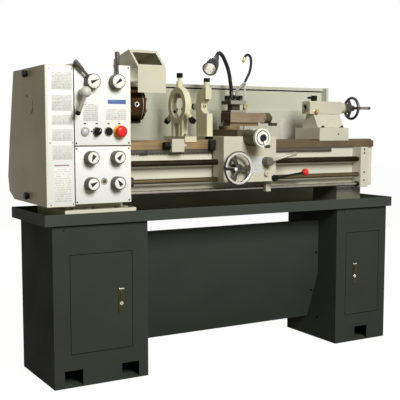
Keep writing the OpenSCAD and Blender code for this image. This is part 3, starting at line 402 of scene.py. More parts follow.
coarse_lines = (200.0, 200.0, 200.0)
even_lines = (300.0, 300.0, 300.0)
bronze = (0.050, 0.043, 0.020)
lock_bronze = steel("lock_bronze", bronze, 0.45, (500.0, 500.0, 60.0), 0.2, metal=0.5, sheen=0.1)
lock_bright = steel("lock_bright", (0.70, 0.66, 0.52), 0.25, coarse_lines, 0.1)
# A flat black, used for painted shadow in gaps and for the real panel screws.
shadow_and_screw_black = moulded("shadow_and_screw_black", (0.005, 0.005, 0.005), 0.6, sheen=0.02)
dark_screw = steel("dark_screw", (0.05, 0.05, 0.046), 0.45, even_lines, 0.2, metal=0.6, sheen=0.2)
for side in ("left", "right"):
    low, high = span(side + "_door")
    mid = high[0] - 49.2 if side == "left" else low[0] + 53.2
    lock_z = (low[2] + high[2]) / 2
    face = low[1] + 6.0
    dish = bmesh.new()
    block(dish, (mid - 13.3, face - 2.7, lock_z - 50.3), (mid + 13.3, face - 0.1, lock_z + 50.3), 1.2)
    block(dish, (mid - 7.3, face - 6.3, lock_z + 1.7), (mid + 7.3, face - 2.2, lock_z + 44.3), 1.6)
    make(side + "_lock_dish", dish, lock_bronze, side + "_door")
    plug = bmesh.new()
    rounds = [(0, 7.4), (2.4, 7.4), (3.0, 6.7), (3.0, 2.4), (2.4, 2.0), (2.4, 0)]
    turned(plug, rounds, (mid, face - 2.2, lock_z - 13), front, 28)
    block(plug, (mid - 12, face - 4.6, lock_z + 44.8), (mid + 12, face - 2.2, lock_z + 49.6), 1.0)
    make(side + "_lock_plug", plug, lock_bright, side + "_door")
    # Painted shadow: a thin black frame round the door stands for the shaded gap round it.
    shadow_gap = bmesh.new()
    for x in (low[0] - 2.6, high[0] + 0.2):
        block(shadow_gap, (x, face - 0.4, low[2] - 2.6), (x + 2.4, face + 1.2, high[2] + 2.6), 0.3)
    for z in (low[2] - 2.6, high[2] + 0.2):
        block(shadow_gap, (low[0] - 2.6, face - 0.4, z), (high[0] + 2.6, face + 1.2, z + 2.4), 0.3)
    make(side + "_door_shadow_gap", shadow_gap, shadow_and_screw_black, "stand")
low, high = span("front_panel")
cabinet_side = span("right_cabinet")[0][0]
bent_face = (0, -0.943, -0.333)
panel_screw_r = 6
panel_screws = bmesh.new()
for x in (low[0] + 14, high[0] - 13.5):
    screw_head(panel_screws, (x, low[1], low[2] + 335), front, panel_screw_r)
    screw_head(panel_screws, (x - 3, low[1] + 32, low[2] + 142), bent_face, panel_screw_r)
screw_head(panel_screws, (cabinet_side, low[1] + 2, low[2] + 10), left, panel_screw_r)
make("panel_screws", panel_screws, shadow_and_screw_black, "stand")

# Splash guard: one folded sheet behind the bed, sprayed light grey-green, its top edge hemmed.
# It stands in the tray and is bolted to the tray's back lip. A bare plate is riveted to it.
# The paint is paler toward the right end, and a dark strip of painted shadow lies under the hem.
splash_enamel = enamel("splash_enamel", (0.47, 0.475, 0.385), bare_steel, 520.0, 0.45, 0.35)


def skin_of(finish):
    """The sockets of a finish's Principled shader."""
    return next(n for n in finish.node_tree.nodes if n.type == "BSDF_PRINCIPLED").inputs


def painted_over(finish, colour, from_where, axis, low, high, share):
    """Lays a second colour over a finish, more and more from one place or direction to another."""
    tree = finish.node_tree
    skin = skin_of(finish)
    under = skin["Base Color"].links[0].from_socket
    where = shade(tree, "SeparateXYZ", {0: shade(tree, "TexCoord").outputs[from_where]}).outputs[axis]
    tree.links.new(tint(tree, spread(tree, where, low, high, 0.0, share), under, colour), skin["Base Color"])


def bar(name, low, high, rounding, finish, body):
    """A piece that is one bar or plate between two corners."""
    shape = bmesh.new()
    block(shape, low, high, rounding)
    return make(name, shape, finish, body)


painted_over(splash_enamel, (0.70, 0.70, 0.62), "Object", "X", 0.15, 0.7, 0.6)
dress("splash_guard", splash_enamel, 0.0008)
splash_low, splash_high = span("splash_guard")
# Painted shadow: a dark strip under the hem, where the hem hangs over the sheet.
hem_y = splash_high[1] - 2.4
hem_z = splash_high[2] - 14.5
low = (splash_low[0] + 1, hem_y - 0.8, hem_z - 6)
bar("splash_hem_shadow", low, (splash_high[0] - 14, hem_y, hem_z), 0.2, shadow_and_screw_black, "stand")
plate_film = moulded("plate_film", (0.56, 0.55, 0.50), 0.45, 0.05)
sheet_y = splash_high[1] - 8.0
low = (splash_high[0] - 284, sheet_y - 1.2, splash_high[2] - 267)
high = (splash_high[0] - 187, sheet_y - 0.2, splash_high[2] - 160)
bar("splash_plate", low, high, 0.3, plate_film, "stand")
rivets = bmesh.new()
rivet_profile = [(0, 2.0), (0.7, 1.8), (1.0, 0.8), (1.0, 0.0)]
for x in (low[0] + 6, high[0] - 6):
    for z in (low[2] + 6, high[2] - 6):
        turned(rivets, rivet_profile, (x, low[1], z), front, 12)
make("splash_plate_rivets", rivets, dark_screw, "stand")

# Bed: a ribbed iron casting, painted cream on its walls and feet and ground bright on its ways.
# The toothed feed rack is screwed under the front way. Bolts hold the feet down through the tray.
# The right foot and the right part of the ways are darkened with painted shade.
way_steel = (0.32, 0.225, 0.105)
cream = (0.72, 0.70, 0.585)
bare_iron = (0.30, 0.28, 0.24)
up = (0, 0, 1)


def zone(tree, axis, low, high, soft=0.0004):
    """1 where the object coordinate on an axis lies between two places in metres."""
    where = shade(tree, "SeparateXYZ", {0: place_on(tree)}).outputs[axis]
    above = spread(tree, where, low - soft, low + soft)
    below = spread(tree, where, high + soft, high - soft)
    return times(tree, above, below)


def screws(name, spots, axis, radius, proud, body):
    """A piece of like dark screws that all face one way."""
    shape = bmesh.new()
    for spot in spots:
        screw_head(shape, spot, axis, radius, proud)
    make(name, shape, dark_screw, body)


flange_z = span("end_bracket")[1][2] / 1000 - 0.0001
beyond = 2.0
bed_finish, tree, skin = finish_of("bed_casting", 0.4)
film = place(tree, spray_film, Peel_Per_Metre=620.0)
coat = tint(tree, film["Tone"], darker(cream, 0.92), darker(cream, 1.03))
# Painted shade: the right foot, low under the bed, is made dark.
foot_shade = times(tree, zone(tree, "X", 0.62, beyond, 0.01), zone(tree, "Z", 0.0, 0.755, 0.006))
coat = tint(tree, foot_shade, coat, (0.17, 0.165, 0.125))
coat = tint(tree, times(tree, place(tree, edge_rub, Width=0.0025)["Mask"], 0.5), coat, bare_iron)
grain = place(tree, machined_grain, Lines_Per_Metre=(12.0, 700.0, 700.0))
bare = tint(tree, grain["Tone"], darker(way_steel, 0.8), darker(way_steel, 1.15))
bare = tint(tree, place(tree, oil_film, Amount=0.55)["Mask"], bare, (0.13, 0.095, 0.06))
# Painted shade: the ways grow darker from the carriage toward the right end.
bare = tint(tree, times(tree, zone(tree, "X", 0.2, beyond, 0.05), 0.75), bare, (0.085, 0.06, 0.037))
ways = zone(tree, "Z", flange_z, beyond)
rack = times(tree, zone(tree, "Z", 0.9, flange_z), zone(tree, "Y", -1.0, -0.0931, 0.00005))
metal_part = larger(tree, ways, rack)
face = tint(tree, rack, tint(tree, ways, coat, bare), (0.10, 0.085, 0.07))
rough = spread(tree, metal_part, 0.0, 1.0, 0.34, 0.36)
wire(tree, skin, face, rough, film["Height"], 0.12, 0.0004)
tree.links.new(times(tree, metal_part, 0.6), skin["Metallic"])
dress("bed", bed_finish, 0.0012)
bed_low, bed_high = span("bed")
case_low, case_high = span("gearbox_case")
foot_top = case_low[2] - 25
bolt_rows = {bed_low[1] + 23: (32, 132, 232, 295), bed_high[1] - 23: (51, 152, 252)}
spots = [(bed_low[0] + x, y, foot_top) for y, places in bolt_rows.items() for x in places]
screws("foot_bolts", spots, up, 9, 7, "stand")
wall_y = bed_low[1] + 62.1
low = (case_high[0] + 80, wall_y - 1, bed_high[2] - 62)
high = (case_high[0] + 115, wall_y, bed_high[2] - 45)
bar("bed_plate", low, high, 0.3, dark_screw, "stand")

# Rods in front of the bed: a threaded leadscrew, a feed rod and a control rod, all of oiled steel.
# They turn in the gearbox at the left and in the painted bracket at the right.
thread_steel = steel("thread_steel", (0.044, 0.032, 0.018), 0.40, (500.0, 60.0, 60.0), 0.5)
right = (1, 0, 0)
along_rod = (600.0, 40.0, 40.0)
rod_steel = steel("rod_steel", (0.13, 0.098, 0.050), 0.34, along_rod, 0.4)
bright_rod = steel("bright_rod", (0.30, 0.28, 0.235), 0.30, along_rod, 0.3)
low, high = span("lead_screw")
screw_y = (low[1] + high[1]) / 2
screw_z = (low[2] + high[2]) / 2
crest = (high[2] - low[2]) / 2
root = crest - 3.2
pitch = 6.0
thread_x0 = low[0] + 19
thread_x1 = high[0] - 48
steps = 20
turns = int((thread_x1 - thread_x0) / pitch) - 1
thread = bmesh.new()
flank = [(0.0, root), (1.3, crest), (3.3, crest), (4.6, root)]
rows = []
for k in range(turns * steps + 1):
    angle = 2 * math.pi * k / steps
    x = thread_x0 + pitch * k / steps
    y = math.cos(angle)
    z = math.sin(angle)
    rows.append([thread.verts.new((x + dx, screw_y + r * y, screw_z + r * z)) for dx, r in flank])
for k in range(len(rows) - 1):
    for i in range(3):
        thread.faces.new((rows[k][i], rows[k + 1][i], rows[k + 1][i + 1], rows[k][i + 1]))
    if k + steps + 1 < len(rows):
        thread.faces.new((rows[k][3], rows[k + 1][3], rows[k + steps + 1][0], rows[k + steps][0]))
stub = crest - 3
end = [(0, stub), (19.5, stub), (19.6, root), (24, root)]
turned(thread, end, (low[0], screw_y, screw_z), right, 28)
turned(thread, [(0, stub), (48, stub), (54, root)], (high[0], screw_y, screw_z), left, 28)
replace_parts(make("leadscrew_thread", thread, thread_steel, "lead_screw", 30), "lead_screw")
dress("feed_rod", rod_steel, 0.001)
dress("control_rod", bright_rod, 0.001)
bracket_enamel = enamel("bracket_enamel", (0.66, 0.64, 0.55), bare_iron)
dress("end_bracket", bracket_enamel, 0.003)
black_plastic = moulded("black_plastic", (0.007, 0.007, 0.0065), 0.42, sheen=0.09)


def spun(name, profile, start, axis, sides, finish, body, closed=True):
    """A piece that is one turned form."""
    shape = bmesh.new()
    turned(shape, profile, start, axis, sides, closed)
    return make(name, shape, finish, body)


def collar(name, rod, start, inner, outer, wide, finish):
    """A clamp ring on a rod. It gives back the height of the rod's axis."""
    low, high = span(rod)
    middle = (start, screw_y, (low[2] + high[2]) / 2)
    edge = outer - 0.5
    profile = [(0, inner), (0, edge), (1, outer), (wide - 1, outer), (wide, edge), (wide, inner)]
    spun(name, profile, middle, right, 36, finish, rod)
    return middle[2]


feed_x = span("feed_rod")[0][0] + 13
feed_z = collar("feed_collar", "feed_rod", feed_x, 16, 21.3, 25, dark_screw)
control_x = span("control_rod")[1][0] - 60
collar("control_collar", "control_rod", control_x, 10, 13.3, 15, black_plastic)
low, high = span("end_bracket")
bracket_x = (low[0] + high[0]) / 2
spots = [(bracket_x, low[1] + 4, z) for z in (screw_z + 46, screw_z + 28, feed_z + 10, feed_z - 29)]
screws("bracket_screws", spots, front, 5.4, 4, "stand")

# Headstock and feed gearbox: two painted iron boxes, one above the other, screwed to the bed.
# White printed panels with corner screws cover their fronts; dark joints lie between the boxes
# and along the edge that meets the end cover. A glass shows the oil in the gearbox.
cream_enamel = enamel("cream_enamel", (0.80, 0.775, 0.655), bare_iron, sheen=0.05)
dress("headstock_case", cream_enamel, 0.0035)
dress("gearbox_case", cream_enamel, 0.0035)
dress("spindle_bearings", rod_steel, 0.0006)
head_high = span("headstock_case")[1]
panel_y = case_low[1]
case_x0 = case_low[0]
case_x1 = case_high[0]
chuck_low, chuck_high = span("chuck_body")
axis_z = (chuck_low[2] + chuck_high[2]) / 2
screw_rows = (head_high[2] - 9, case_high[2] + 12, case_high[2] - 10, case_low[2] + 9)
spots = [(x, panel_y, z) for x in (case_x0 + 9, case_x1 - 9) for z in screw_rows]
screws("case_screws", spots, front, 3.6, 1.6, "stand")


def plate(name, low, high, y, finish, body, thick=0.8):
    """A thin plate on a front face, with rounded edges."""
    bar(name, (low[0], y - thick, low[1]), (high[0], y + 0.2, high[1]), 0.15, finish, body)


def printed(name, low, high, rows, ink, ground, lines=30.0, share=0.5):
    """A printed table with no words: rows of short strokes between fine rules, on a pale film."""
    made, tree, skin = finish_of(name, 0.12)
    where = shade(tree, "SeparateXYZ", {0: place_on(tree)}).outputs
    u = spread(tree, where["X"], low[0] / 1000, high[0] / 1000)
    v = spread(tree, where["Z"], low[1] / 1000, high[1] / 1000)
    row = times(tree, v, float(rows))
    number = shade(tree, "Math", {0: row}, operation="FLOOR").outputs[0]
    inside = shade(tree, "Math", {0: row}, operation="FRACT").outputs[0]
    band = times(tree, spread(tree, inside, 0.24, 0.34), spread(tree, inside, 0.76, 0.66))
    spot = {0: times(tree, u, lines), 1: times(tree, number, 7.31)}
    strokes = mottle(tree, shade(tree, "CombineXYZ", spot).outputs[0], 1.0, 2.0)
    strokes = spread(tree, strokes, share, share + 0.08)
    cell = shade(tree, "Math", {0: times(tree, u, 5.0)}, operation="FRACT").outputs[0]
    rule = larger(tree, spread(tree, inside, 0.06, 0.0), spread(tree, cell, 0.05, 0.0))
    edge = times(tree, spread(tree, u, 0.02, 0.05), spread(tree, u, 0.98, 0.95))
    mark = times(tree, larger(tree, times(tree, band, strokes), times(tree, rule, 0.4)), edge)
    film = place(tree, spray_film, Peel_Per_Metre=1600.0)
    sheet = tint(tree, film["Tone"], darker(ground, 0.97), darker(ground, 1.02))
    tree.links.new(tint(tree, mark, sheet, ink), skin["Base Color"])
    tree.links.new(spread(tree, film["Tone"], 0.0, 1.0, 0.40, 0.32), skin["Roughness"])
    return made


white_film = (0.86, 0.875, 0.86)
grey_ink = (0.36, 0.37, 0.37)
table_film = (0.74, 0.745, 0.72)
panel_white = moulded("panel_white", white_film, 0.34, 0.02, 1600.0, 0.2)
panel_thick = 0.4
panels = {
    "headstock_panel": (case_high[2] + 4.5, head_high[2] - 2),
    "gearbox_panel": (case_low[2] + 2, case_high[2] - 2),
}
for name, (z0, z1) in panels.items():
    low = (case_x0 + 1.5, z0)
    plate(name, low, (case_x1 - 1.5, z1), panel_y, panel_white, "stand", panel_thick)
tables = {
    "speed_table": ((case_x0 + 39, axis_z - 73), (case_x0 + 103, axis_z - 5), 9, 0.46),
    "thread_table": ((case_x0 + 135, axis_z - 68), (case_x0 + 226, axis_z - 24), 6, 0.50),
}
for name, (low, high, rows, share) in tables.items():
    table_print = printed(name + "_print", low, high, rows, grey_ink, table_film, share=share)
    plate(name, low, high, panel_y, table_print, "stand")
blue_bar = moulded("blue_bar", (0.075, 0.14, 0.36), 0.4)
low = (case_x0 + 144, axis_z - 4)
high = (case_x0 + 224, axis_z + 13)
plate("plain_bar", low, high, panel_y, blue_bar, "stand")
joint_dark = moulded("joint_dark", (0.012, 0.0115, 0.010), 0.6, sheen=0.05)
joint_line = bmesh.new()
joint_z = case_high[2] + 1
block(joint_line, (case_x0 + 1, panel_y - 0.2, joint_z - 2.4), (case_x1 - 1, panel_y + 8, joint_z + 2.4), 0.3)
seam_low = (case_x0 + 0.1, panel_y - 0.6, case_low[2] + 2)
block(joint_line, seam_low, (case_x0 + 3.4, panel_y + 5, head_high[2] - 2), 0.3)
make("case_joint", joint_line, joint_dark, "stand")
sight_steel = steel("sight_steel", (0.46, 0.44, 0.37), 0.3, even_lines, 0.2, metal=0.6)
sight_oil = moulded("sight_oil", (0.10, 0.065, 0.02), 0.12)
sight_at = (case_x0 + 126, panel_y, case_high[2] - 141)
profile = [(-1, 12), (1.6, 14.5), (2.6, 13.8), (2.6, 8.5), (0.4, 8.0)]
spun("oil_sight_ring", profile, sight_at, front, 32, sight_steel, "stand")
profile = [(-0.5, 8.6), (0.8, 8.2), (1.7, 5.5), (2.0, 0.0)]
spun("oil_sight_glass", profile, sight_at, front, 24, sight_oil, "stand")

# Pilot lamp and switches: moulded bezels in the headstock front, each with its own insert.
# The selector has a white line, the push button is flat, and the stop button is a red mushroom.
# A plain dark mark is printed above each of them.
bezel_grey = moulded("bezel_grey", (0.34, 0.34, 0.34), 0.35, 0.06)
plain_white = moulded("plain_white", (0.84, 0.835, 0.79), 0.36, 0.04)
lens_pale = moulded("lens_pale", (0.58, 0.59, 0.62), 0.14, 0.04)
red_plastic = moulded("red_plastic", (0.70, 0.020, 0.013), 0.30, sheen=0.3)
yellow_plastic = moulded("yellow_plastic", (0.88, 0.55, 0.045), 0.36)
switch_z = axis_z - 114
switch_x = {"lamp": case_x0 + 46, "mode": case_x0 + 96, "jog": case_x0 + 147, "stop": case_x0 + 194}
switch_at = {name: Vector((x, panel_y, switch_z)) for name, x in switch_x.items()}


def bezel(switch, outer, inner, proud, finish):
    """The moulded ring round a switch."""
    profile = [(-0.4, outer + 1.0), (1.5, outer + 1.0), (proud - 2, outer + 0.5), (proud, outer - 1.2),
               (proud, inner), (1.0, inner)]
    spun(switch + "_bezel", profile, switch_at[switch], front, 40, finish, "stand")


bezel("lamp", 17.0, 13.0, 7.5, bezel_grey)
bezel("mode", 17.0, 8.0, 7.5, black_plastic)
bezel("jog", 17.0, 13.6, 7.5, black_plastic)
bezel("stop", 26.0, 9.0, 8.6, yellow_plastic)
profile = [(4, 12.8), (7, 12.6), (9.5, 9.5), (10.8, 4.5), (11, 0)]
spun("pilot_lens", profile, switch_at["lamp"], front, 36, lens_pale, "stand")
stud_at = (case_x0 + 73, panel_y, switch_z)
profile = [(-0.2, 3.4), (1.2, 3.2), (1.8, 2.0), (1.8, 0)]
spun("pilot_stud", profile, stud_at, front, 18, black_plastic, "stand")
marks = bmesh.new()
mark_half = Vector((5, 0.3, 2.5))
for spot in switch_at.values():
    mark_at = spot + Vector((0, -0.4, 31))
    block(marks, mark_at - mark_half, mark_at + mark_half, 0.1)
make("switch_marks", marks, black_plastic, "stand")


def slab_at(shape, low, high, centre, angle, rounding, axis="Y"):
    """A bar drawn about the origin, turned about an axis, then moved to its place."""
    fresh = bmesh.new()
    block(fresh, low, high, rounding)
    move = Matrix.Translation(Vector(centre)) @ Matrix.Rotation(math.radians(angle), 4, axis)
    bmesh.ops.transform(fresh, matrix=move, verts=fresh.verts)
    spare = bpy.data.meshes.new("spare")
    fresh.to_mesh(spare)
    fresh.free()
    shape.from_mesh(spare)
    bpy.data.meshes.remove(spare)


selector_turn = 35
selector = bmesh.new()
turned(selector, [(7.4, 15), (18.5, 14.6), (20, 13.2), (20, 0)], switch_at["mode"], front, 36)
slab_at(selector, (-5, -28, -15), (5, -19.5, 15), switch_at["mode"], selector_turn, 1.6)
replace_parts(make("selector_knob", selector, black_plastic, "mode_switch"), "mode_switch")
line = bmesh.new()
slab_at(line, (-0.9, -28.4, 0), (0.9, -27.8, 14.2), switch_at["mode"], selector_turn, 0.2)
make("selector_line", line, plain_white, "mode_switch")
profile = [(5.6, 13), (9.8, 12.9), (10.9, 12), (10.4, 8), (10.2, 0)]
push = spun("jog_cap", profile, switch_at["jog"], front, 36, black_plastic, "jog_button")
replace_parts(push, "jog_button")
profile = [(8, 8), (19.8, 8), (20, 23.4), (22, 24), (27, 23.6), (31, 21), (33.4, 15), (34, 7), (34, 0)]
stop_at = switch_at["stop"]
stop = spun("stop_mushroom", profile, stop_at, front, 44, red_plastic, "estop_button")
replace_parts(stop, "estop_button")

# Speed levers, direction lever and feed knobs: grey moulded bodies with fluted rims on steel shafts.
# Each knob has a white disc with a black pointer, and the speed levers are tapered dark steel with a
# rounded end. The direction lever is a ball with a drab grip and a black tip.
knob_grey = moulded("knob_grey", (0.100, 0.096, 0.076), 0.40, sheen=0.18)
dark_grey = (0.085, 0.081, 0.067)
lever_dark = steel("lever_dark", dark_grey, 0.38, coarse_lines, 0.3, metal=0.4, sheen=0.2)
grip_drab = moulded("grip_drab", (0.26, 0.245, 0.185), 0.38)
ball_grey = moulded("ball_grey", (0.60, 0.595, 0.55), 0.25)
pointer_black = moulded("pointer_black", (0.015, 0.015, 0.015), 0.4, sheen=0.2)


def aimed(angle):
    """The direction a lever points in the front plane: 0 is up, 90 to the right."""
    return Vector((math.sin(math.radians(angle)), 0.0, math.cos(math.radians(angle))))


def fluted(shape, centre, radius, depth, flutes=24, bite=0.9, rim=2.0):
    """A round knob whose rim is cut with small flutes, standing out of the front."""
    sides = flutes * 4
    cut = [radius, radius - bite / 2, radius - bite, radius - bite / 2]
    rings = []
    for out, inset in ((0.4, 0.0), (depth - rim, 0.0), (depth - 0.4, rim * 0.7), (depth, rim * 1.2)):
        reach = [cut[k % 4] if inset == 0.0 else radius - bite - inset for k in range(sides)]
        base = Vector(centre) + Vector((0, -out, 0))
        rings.append([shape.verts.new(base + aimed(360 * k / sides) * reach[k]) for k in range(sides)])
    skinned(shape, rings)


def pointer(shape, centre, angle, radius, half):
    """A flat wedge on a knob's face, its tip at the rim."""
    tip = aimed(angle) * radius
    side = aimed(angle + 90) * half
    corners = [tip, side - tip * 0.55, -side - tip * 0.55]
    under = [shape.verts.new(Vector(centre) + c + Vector((0, 0.1, 0))) for c in corners]
    face = [shape.verts.new(Vector(centre) + c * 0.94 + Vector((0, -0.4, 0))) for c in corners]
    skinned(shape, [under, face])


def faced_knob(name, centre, radius, depth, angle, half, disc_r, ticks=0):
    """Fluted body, white disc and black pointer on a turning knob; the body stands for the solid."""
    body = bmesh.new()
    fluted(body, centre, radius, depth)
    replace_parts(make(name + "_body", body, knob_grey, name), name)
    top = depth + 0.5
    profile = [(depth - 0.3, disc_r), (top - 0.1, disc_r - 0.3), (top, disc_r - 0.8), (top, 0)]
    spun(name + "_face", profile, centre, front, 48, plain_white, name)
    arrow = bmesh.new()
    face = Vector(centre) + Vector((0, -top, 0))
    pointer(arrow, face, angle, disc_r * 0.94, half)
    for k in range(ticks):
        slab_at(arrow, (-0.6, -0.4, disc_r - 5.5), (0.6, 0.1, disc_r - 1.5), face, 360 * k / ticks, 0.1)
    make(name + "_pointer", arrow, pointer_black, name)


speed = {
    "speed_lever_left": ((case_x0 + 73, panel_y, axis_z + 82), -44, 108, 68),
    "speed_lever_right": ((case_x0 + 179, panel_y, axis_z + 84), 0, 118, 233),
}
for name, (centre, angle, reach, aim) in speed.items():
    faced_knob(name, centre, 30, 35, aim, 7, 26.5, 12)
    profile = [(20, 6.2), (reach - 52, 5.6), (reach - 50, 8.2), (reach - 6, 10), (reach - 2, 8.8), (reach, 5),
               (reach, 0)]
    start = Vector(centre) + Vector((0, -20, 0))
    spun(name + "_arm", profile, start, aimed(angle), 24, lever_dark, name)
turn_at = Vector((case_x0 + 34, panel_y, axis_z + 39))
grip_at = turn_at + Vector((0, -46, 0))
grip_way = aimed(203)
arc = [a / 12 * math.pi for a in range(3, 13)]
profile = [(0.4, 16), (3, 16), (5, 14), (24, 14)] + [(42 - 22 * math.cos(a), 22 * math.sin(a)) for a in arc]
ball = spun("direction_ball", profile, turn_at, front, 40, ball_grey, "direction_lever")
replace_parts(ball, "direction_lever")
profile = [(16, 6.4), (44, 6.0), (46, 8.2), (80, 9.6), (83, 9.6)]
spun("direction_grip", profile, grip_at, grip_way, 24, grip_drab, "direction_lever")
profile = [(82, 9.7), (92, 9.9), (95.5, 8.4), (97, 5.0), (97, 0.0)]
spun("direction_tip", profile, grip_at, grip_way, 24, black_plastic, "direction_lever")
knob_x = (case_x0 + 66, case_x0 + 180)
knob_z = (case_high[2] - 45, case_high[2] - 149)
knob_aim = {1: 204, 2: 40, 3: 65, 4: 325}
for number, aim in knob_aim.items():
    centre = (knob_x[(number - 1) % 2], panel_y, knob_z[(number - 1) // 2])
    faced_knob("gear_knob_%d" % number, centre, 27, 36.4, aim, 9, 22.5)

# End cover: a pressed sheet hood over belts and gears, held by two black hand knobs on studs.
# A flap on one screw closes the bar-stock hole; a dark crescent of painted shadow lies round one side of its
# edge.
# A printed chart covers the narrow front.
dress("gear_cover", cream_enamel, 0.004)
dress("bore_flap", cream_enamel, 0.0006)
cover_low, cover_high = span("gear_cover")
flap_low, flap_high = span("bore_flap")
flap_y = (flap_low[1] + flap_high[1]) / 2
flap_z = axis_z - 10
flap_r = flap_z - flap_low[2]
flap_mid = (cover_low[0], flap_y, flap_z)
screws("flap_screw", [(cover_low[0] - 4.4, flap_y + 24, axis_z + 30)], left, 5.3, 1.4, "bore_flap")
# Painted shadow: a dark crescent, widest at its middle, round one side of the flap.
flap_shadow_shape = bmesh.new()
for step in range(19):
    wide = 3.4 * math.sin(math.pi * (step + 1) / 20)
    mark_high = (0.2, 2.8, flap_r + wide)
    slab_at(flap_shadow_shape, (-0.3, -2.8, flap_r - 0.6), mark_high, flap_mid, 30 + 7.5 * step, 0, "X")
make("flap_painted_shadow", flap_shadow_shape, shadow_and_screw_black, "end_cover")
chart_x0 = cover_low[0] + 9
chart_x1 = cover_high[0] - 1
low = (chart_x0, cover_low[2] + 4)
high = (chart_x1, cover_high[2] - 4)
plate("chart_plate", low, high, panel_y, panel_white, "end_cover", panel_thick)
chart = ((94, 27, 12, 0.47), (175, 115, 11, 0.47), (229, 192, 7, 0.50), (292, 246, 8, 0.48),
         (365, 309, 9, 0.50))
for number, (foot_down, top_down, rows, share) in enumerate(chart):
    low = (chart_x0 + 16, cover_high[2] - foot_down)
    high = (chart_x1 - 4, cover_high[2] - top_down)
    chart_print = printed("chart_print_%d" % number, low, high, rows, grey_ink, table_film, 34.0, share)
    plate("chart_table_%d" % number, low, high, panel_y, chart_print, "end_cover")
low = (chart_x0 + 22, cover_low[2] + 19)
high = (chart_x1 - 9, cover_low[2] + 151)
notes_print = printed("notes_print", low, high, 15, (0.58, 0.55, 0.51), white_film, 14.0, 0.42)
plate("chart_notes", low, high, panel_y, notes_print, "end_cover")
red_rule = moulded("red_rule", (0.32, 0.22, 0.20), 0.45)
low = (chart_x0 + 24, cover_low[2] + 160)
high = (chart_x1 - 20, cover_low[2] + 165)
plate("chart_rule", low, high, panel_y, red_rule, "end_cover")
screw_rows = (cover_high[2] - 14, cover_high[2] - 300, cover_low[2] + 9)
spots = [(x, panel_y, z) for x in (chart_x0 + 8, chart_x1 - 5) for z in screw_rows]
screws("chart_screws", spots, front, 2.6, 1.4, "end_cover")
hand_knobs = bmesh.new()
profile = [(-114, 6), (0.2, 6), (0.2, 11), (4, 12), (7, 15), (16, 15.2), (19, 13.5), (20, 9), (20, 0)]
for y, z in ((33, head_high[2] - 32), (39, case_low[2] + 24)):
    turned(hand_knobs, profile, (cover_low[0], y, z), left, 10)
hand_knobs = make("cover_hand_knobs", hand_knobs, black_plastic, "end_cover", 20)
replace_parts(hand_knobs, "cover_knobs")

# Drive: a ribbed electric motor bolted behind the bed, two vee pulleys and belts, and the change gears.
# All of it sits under the end cover or behind the headstock; the gears are oiled steel.
motor_enamel = enamel("motor_enamel", (0.13, 0.15, 0.145), bare_steel, 520.0, 0.42, 0.6, 0.12)
gear_steel = steel("gear_steel", (0.40, 0.38, 0.34), 0.34, (700.0, 60.0, 60.0), 0.55)
belt_rubber = moulded("belt_rubber", (0.022, 0.022, 0.022), 0.7, 0.2, 900.0)
dress("motor", motor_enamel, 0.003)
for name in ("spindle", "idler_gear", "feed_gear"):
    dress(name, gear_steel, 0.0005)
for name in ("motor_pulley", "input_pulley"):
    dress(name, lever_dark, 0.0007)
dress("drive_belts", belt_rubber, 0.0012)
motor_low, motor_high = span("motor")
motor_r = 82.0
motor_at = (motor_low[1] + 122, motor_low[2] + motor_r)
fins = bmesh.new()
foot_side = -68
box_side = 50
fin_low = (motor_low[0] + 34, -1.6, motor_r - 4)
fin_high = (motor_high[0] - 44, 1.6, motor_r + 5)
for k in range(36):
    angle = 10 * k + 5
    out = (-math.sin(math.radians(angle)) * motor_r, math.cos(math.radians(angle)) * motor_r)
    if out[0] > foot_side and out[1] < box_side:
        slab_at(fins, fin_low, fin_high, (0, *motor_at), angle, 0.6, "X")
make("motor_fins", fins, motor_enamel, "stand")
profile = [(0, motor_r + 0.5), (0, motor_r + 2.5), (36, motor_r + 2.5), (40.5, motor_r - 3),
           (41.5, motor_r - 14), (41.5, 40), (40, 40), (40, 0)]
cowl_at = (motor_high[0] - 40, *motor_at)
spun("motor_fan_cowl", profile, cowl_at, right, 48, motor_enamel, "stand")
grille = bmesh.new()
for ring in (14, 24, 34):
    profile = [(0, ring), (1.6, ring), (1.6, ring + 4), (0, ring + 4)]
    turned(grille, profile, (motor_high[0] + 0.6, *motor_at), right, 40)
make("motor_grille", grille, black_plastic, "stand")

# Chuck: a hardened steel body browned by oil, three stepped jaws in radial slots, key sockets.
# It is bolted to the spindle flange. Fine turned rings and light chamfers catch the lamp.
chuck_colour = (0.052, 0.029, 0.010)
chuck_brown = steel("chuck_brown", chuck_colour, 0.17, (420.0, 30.0, 30.0), 0.35, (0.040, 0.024, 0.010))
jaw_steel = steel("jaw_steel", (0.40, 0.36, 0.31), 0.3, (60.0, 500.0, 500.0), 0.4)
dress("chuck_body", chuck_brown, 0.0022)
for number in (1, 2, 3):
    dress("chuck_jaw_%d" % number, jaw_steel, 0.0008)
chuck_rings = bmesh.new()
chuck_r = (chuck_high[2] - chuck_low[2]) / 2
crown = chuck_r + 0.15
for x, wide in ((chuck_high[0] - 13, 2.8), (chuck_low[0] + 24, 1.8)):
    profile = [(0, chuck_r - 0.6), (0.2, crown), (wide - 0.2, crown), (wide, chuck_r - 0.6)]
    turned(chuck_rings, profile, (x, 0, axis_z), right, 72)
make("chuck_rings", chuck_rings, jaw_steel, "spindle")


def spoke(angle):
    """The direction across the spindle axis: 0 is to the back, 90 is up."""
    return Vector((0, math.cos(math.radians(angle)), math.sin(math.radians(angle))))


bright_ring = steel("bright_ring", (0.70, 0.68, 0.62), 0.3, coarse_lines, 0.1)
sockets = bmesh.new()
profile = [(0, 6.4), (2.8, 6.4), (3.4, 7.2), (3.4, 10.6), (1.0, 11.2)]
for angle in (60, 180, 300):
    start = Vector((chuck_high[0] - 42, 0, axis_z)) + spoke(angle) * (chuck_r - 3)
    turned(sockets, profile, start, spoke(angle), 28, False)
make("chuck_key_rings", sockets, bright_ring, "spindle")

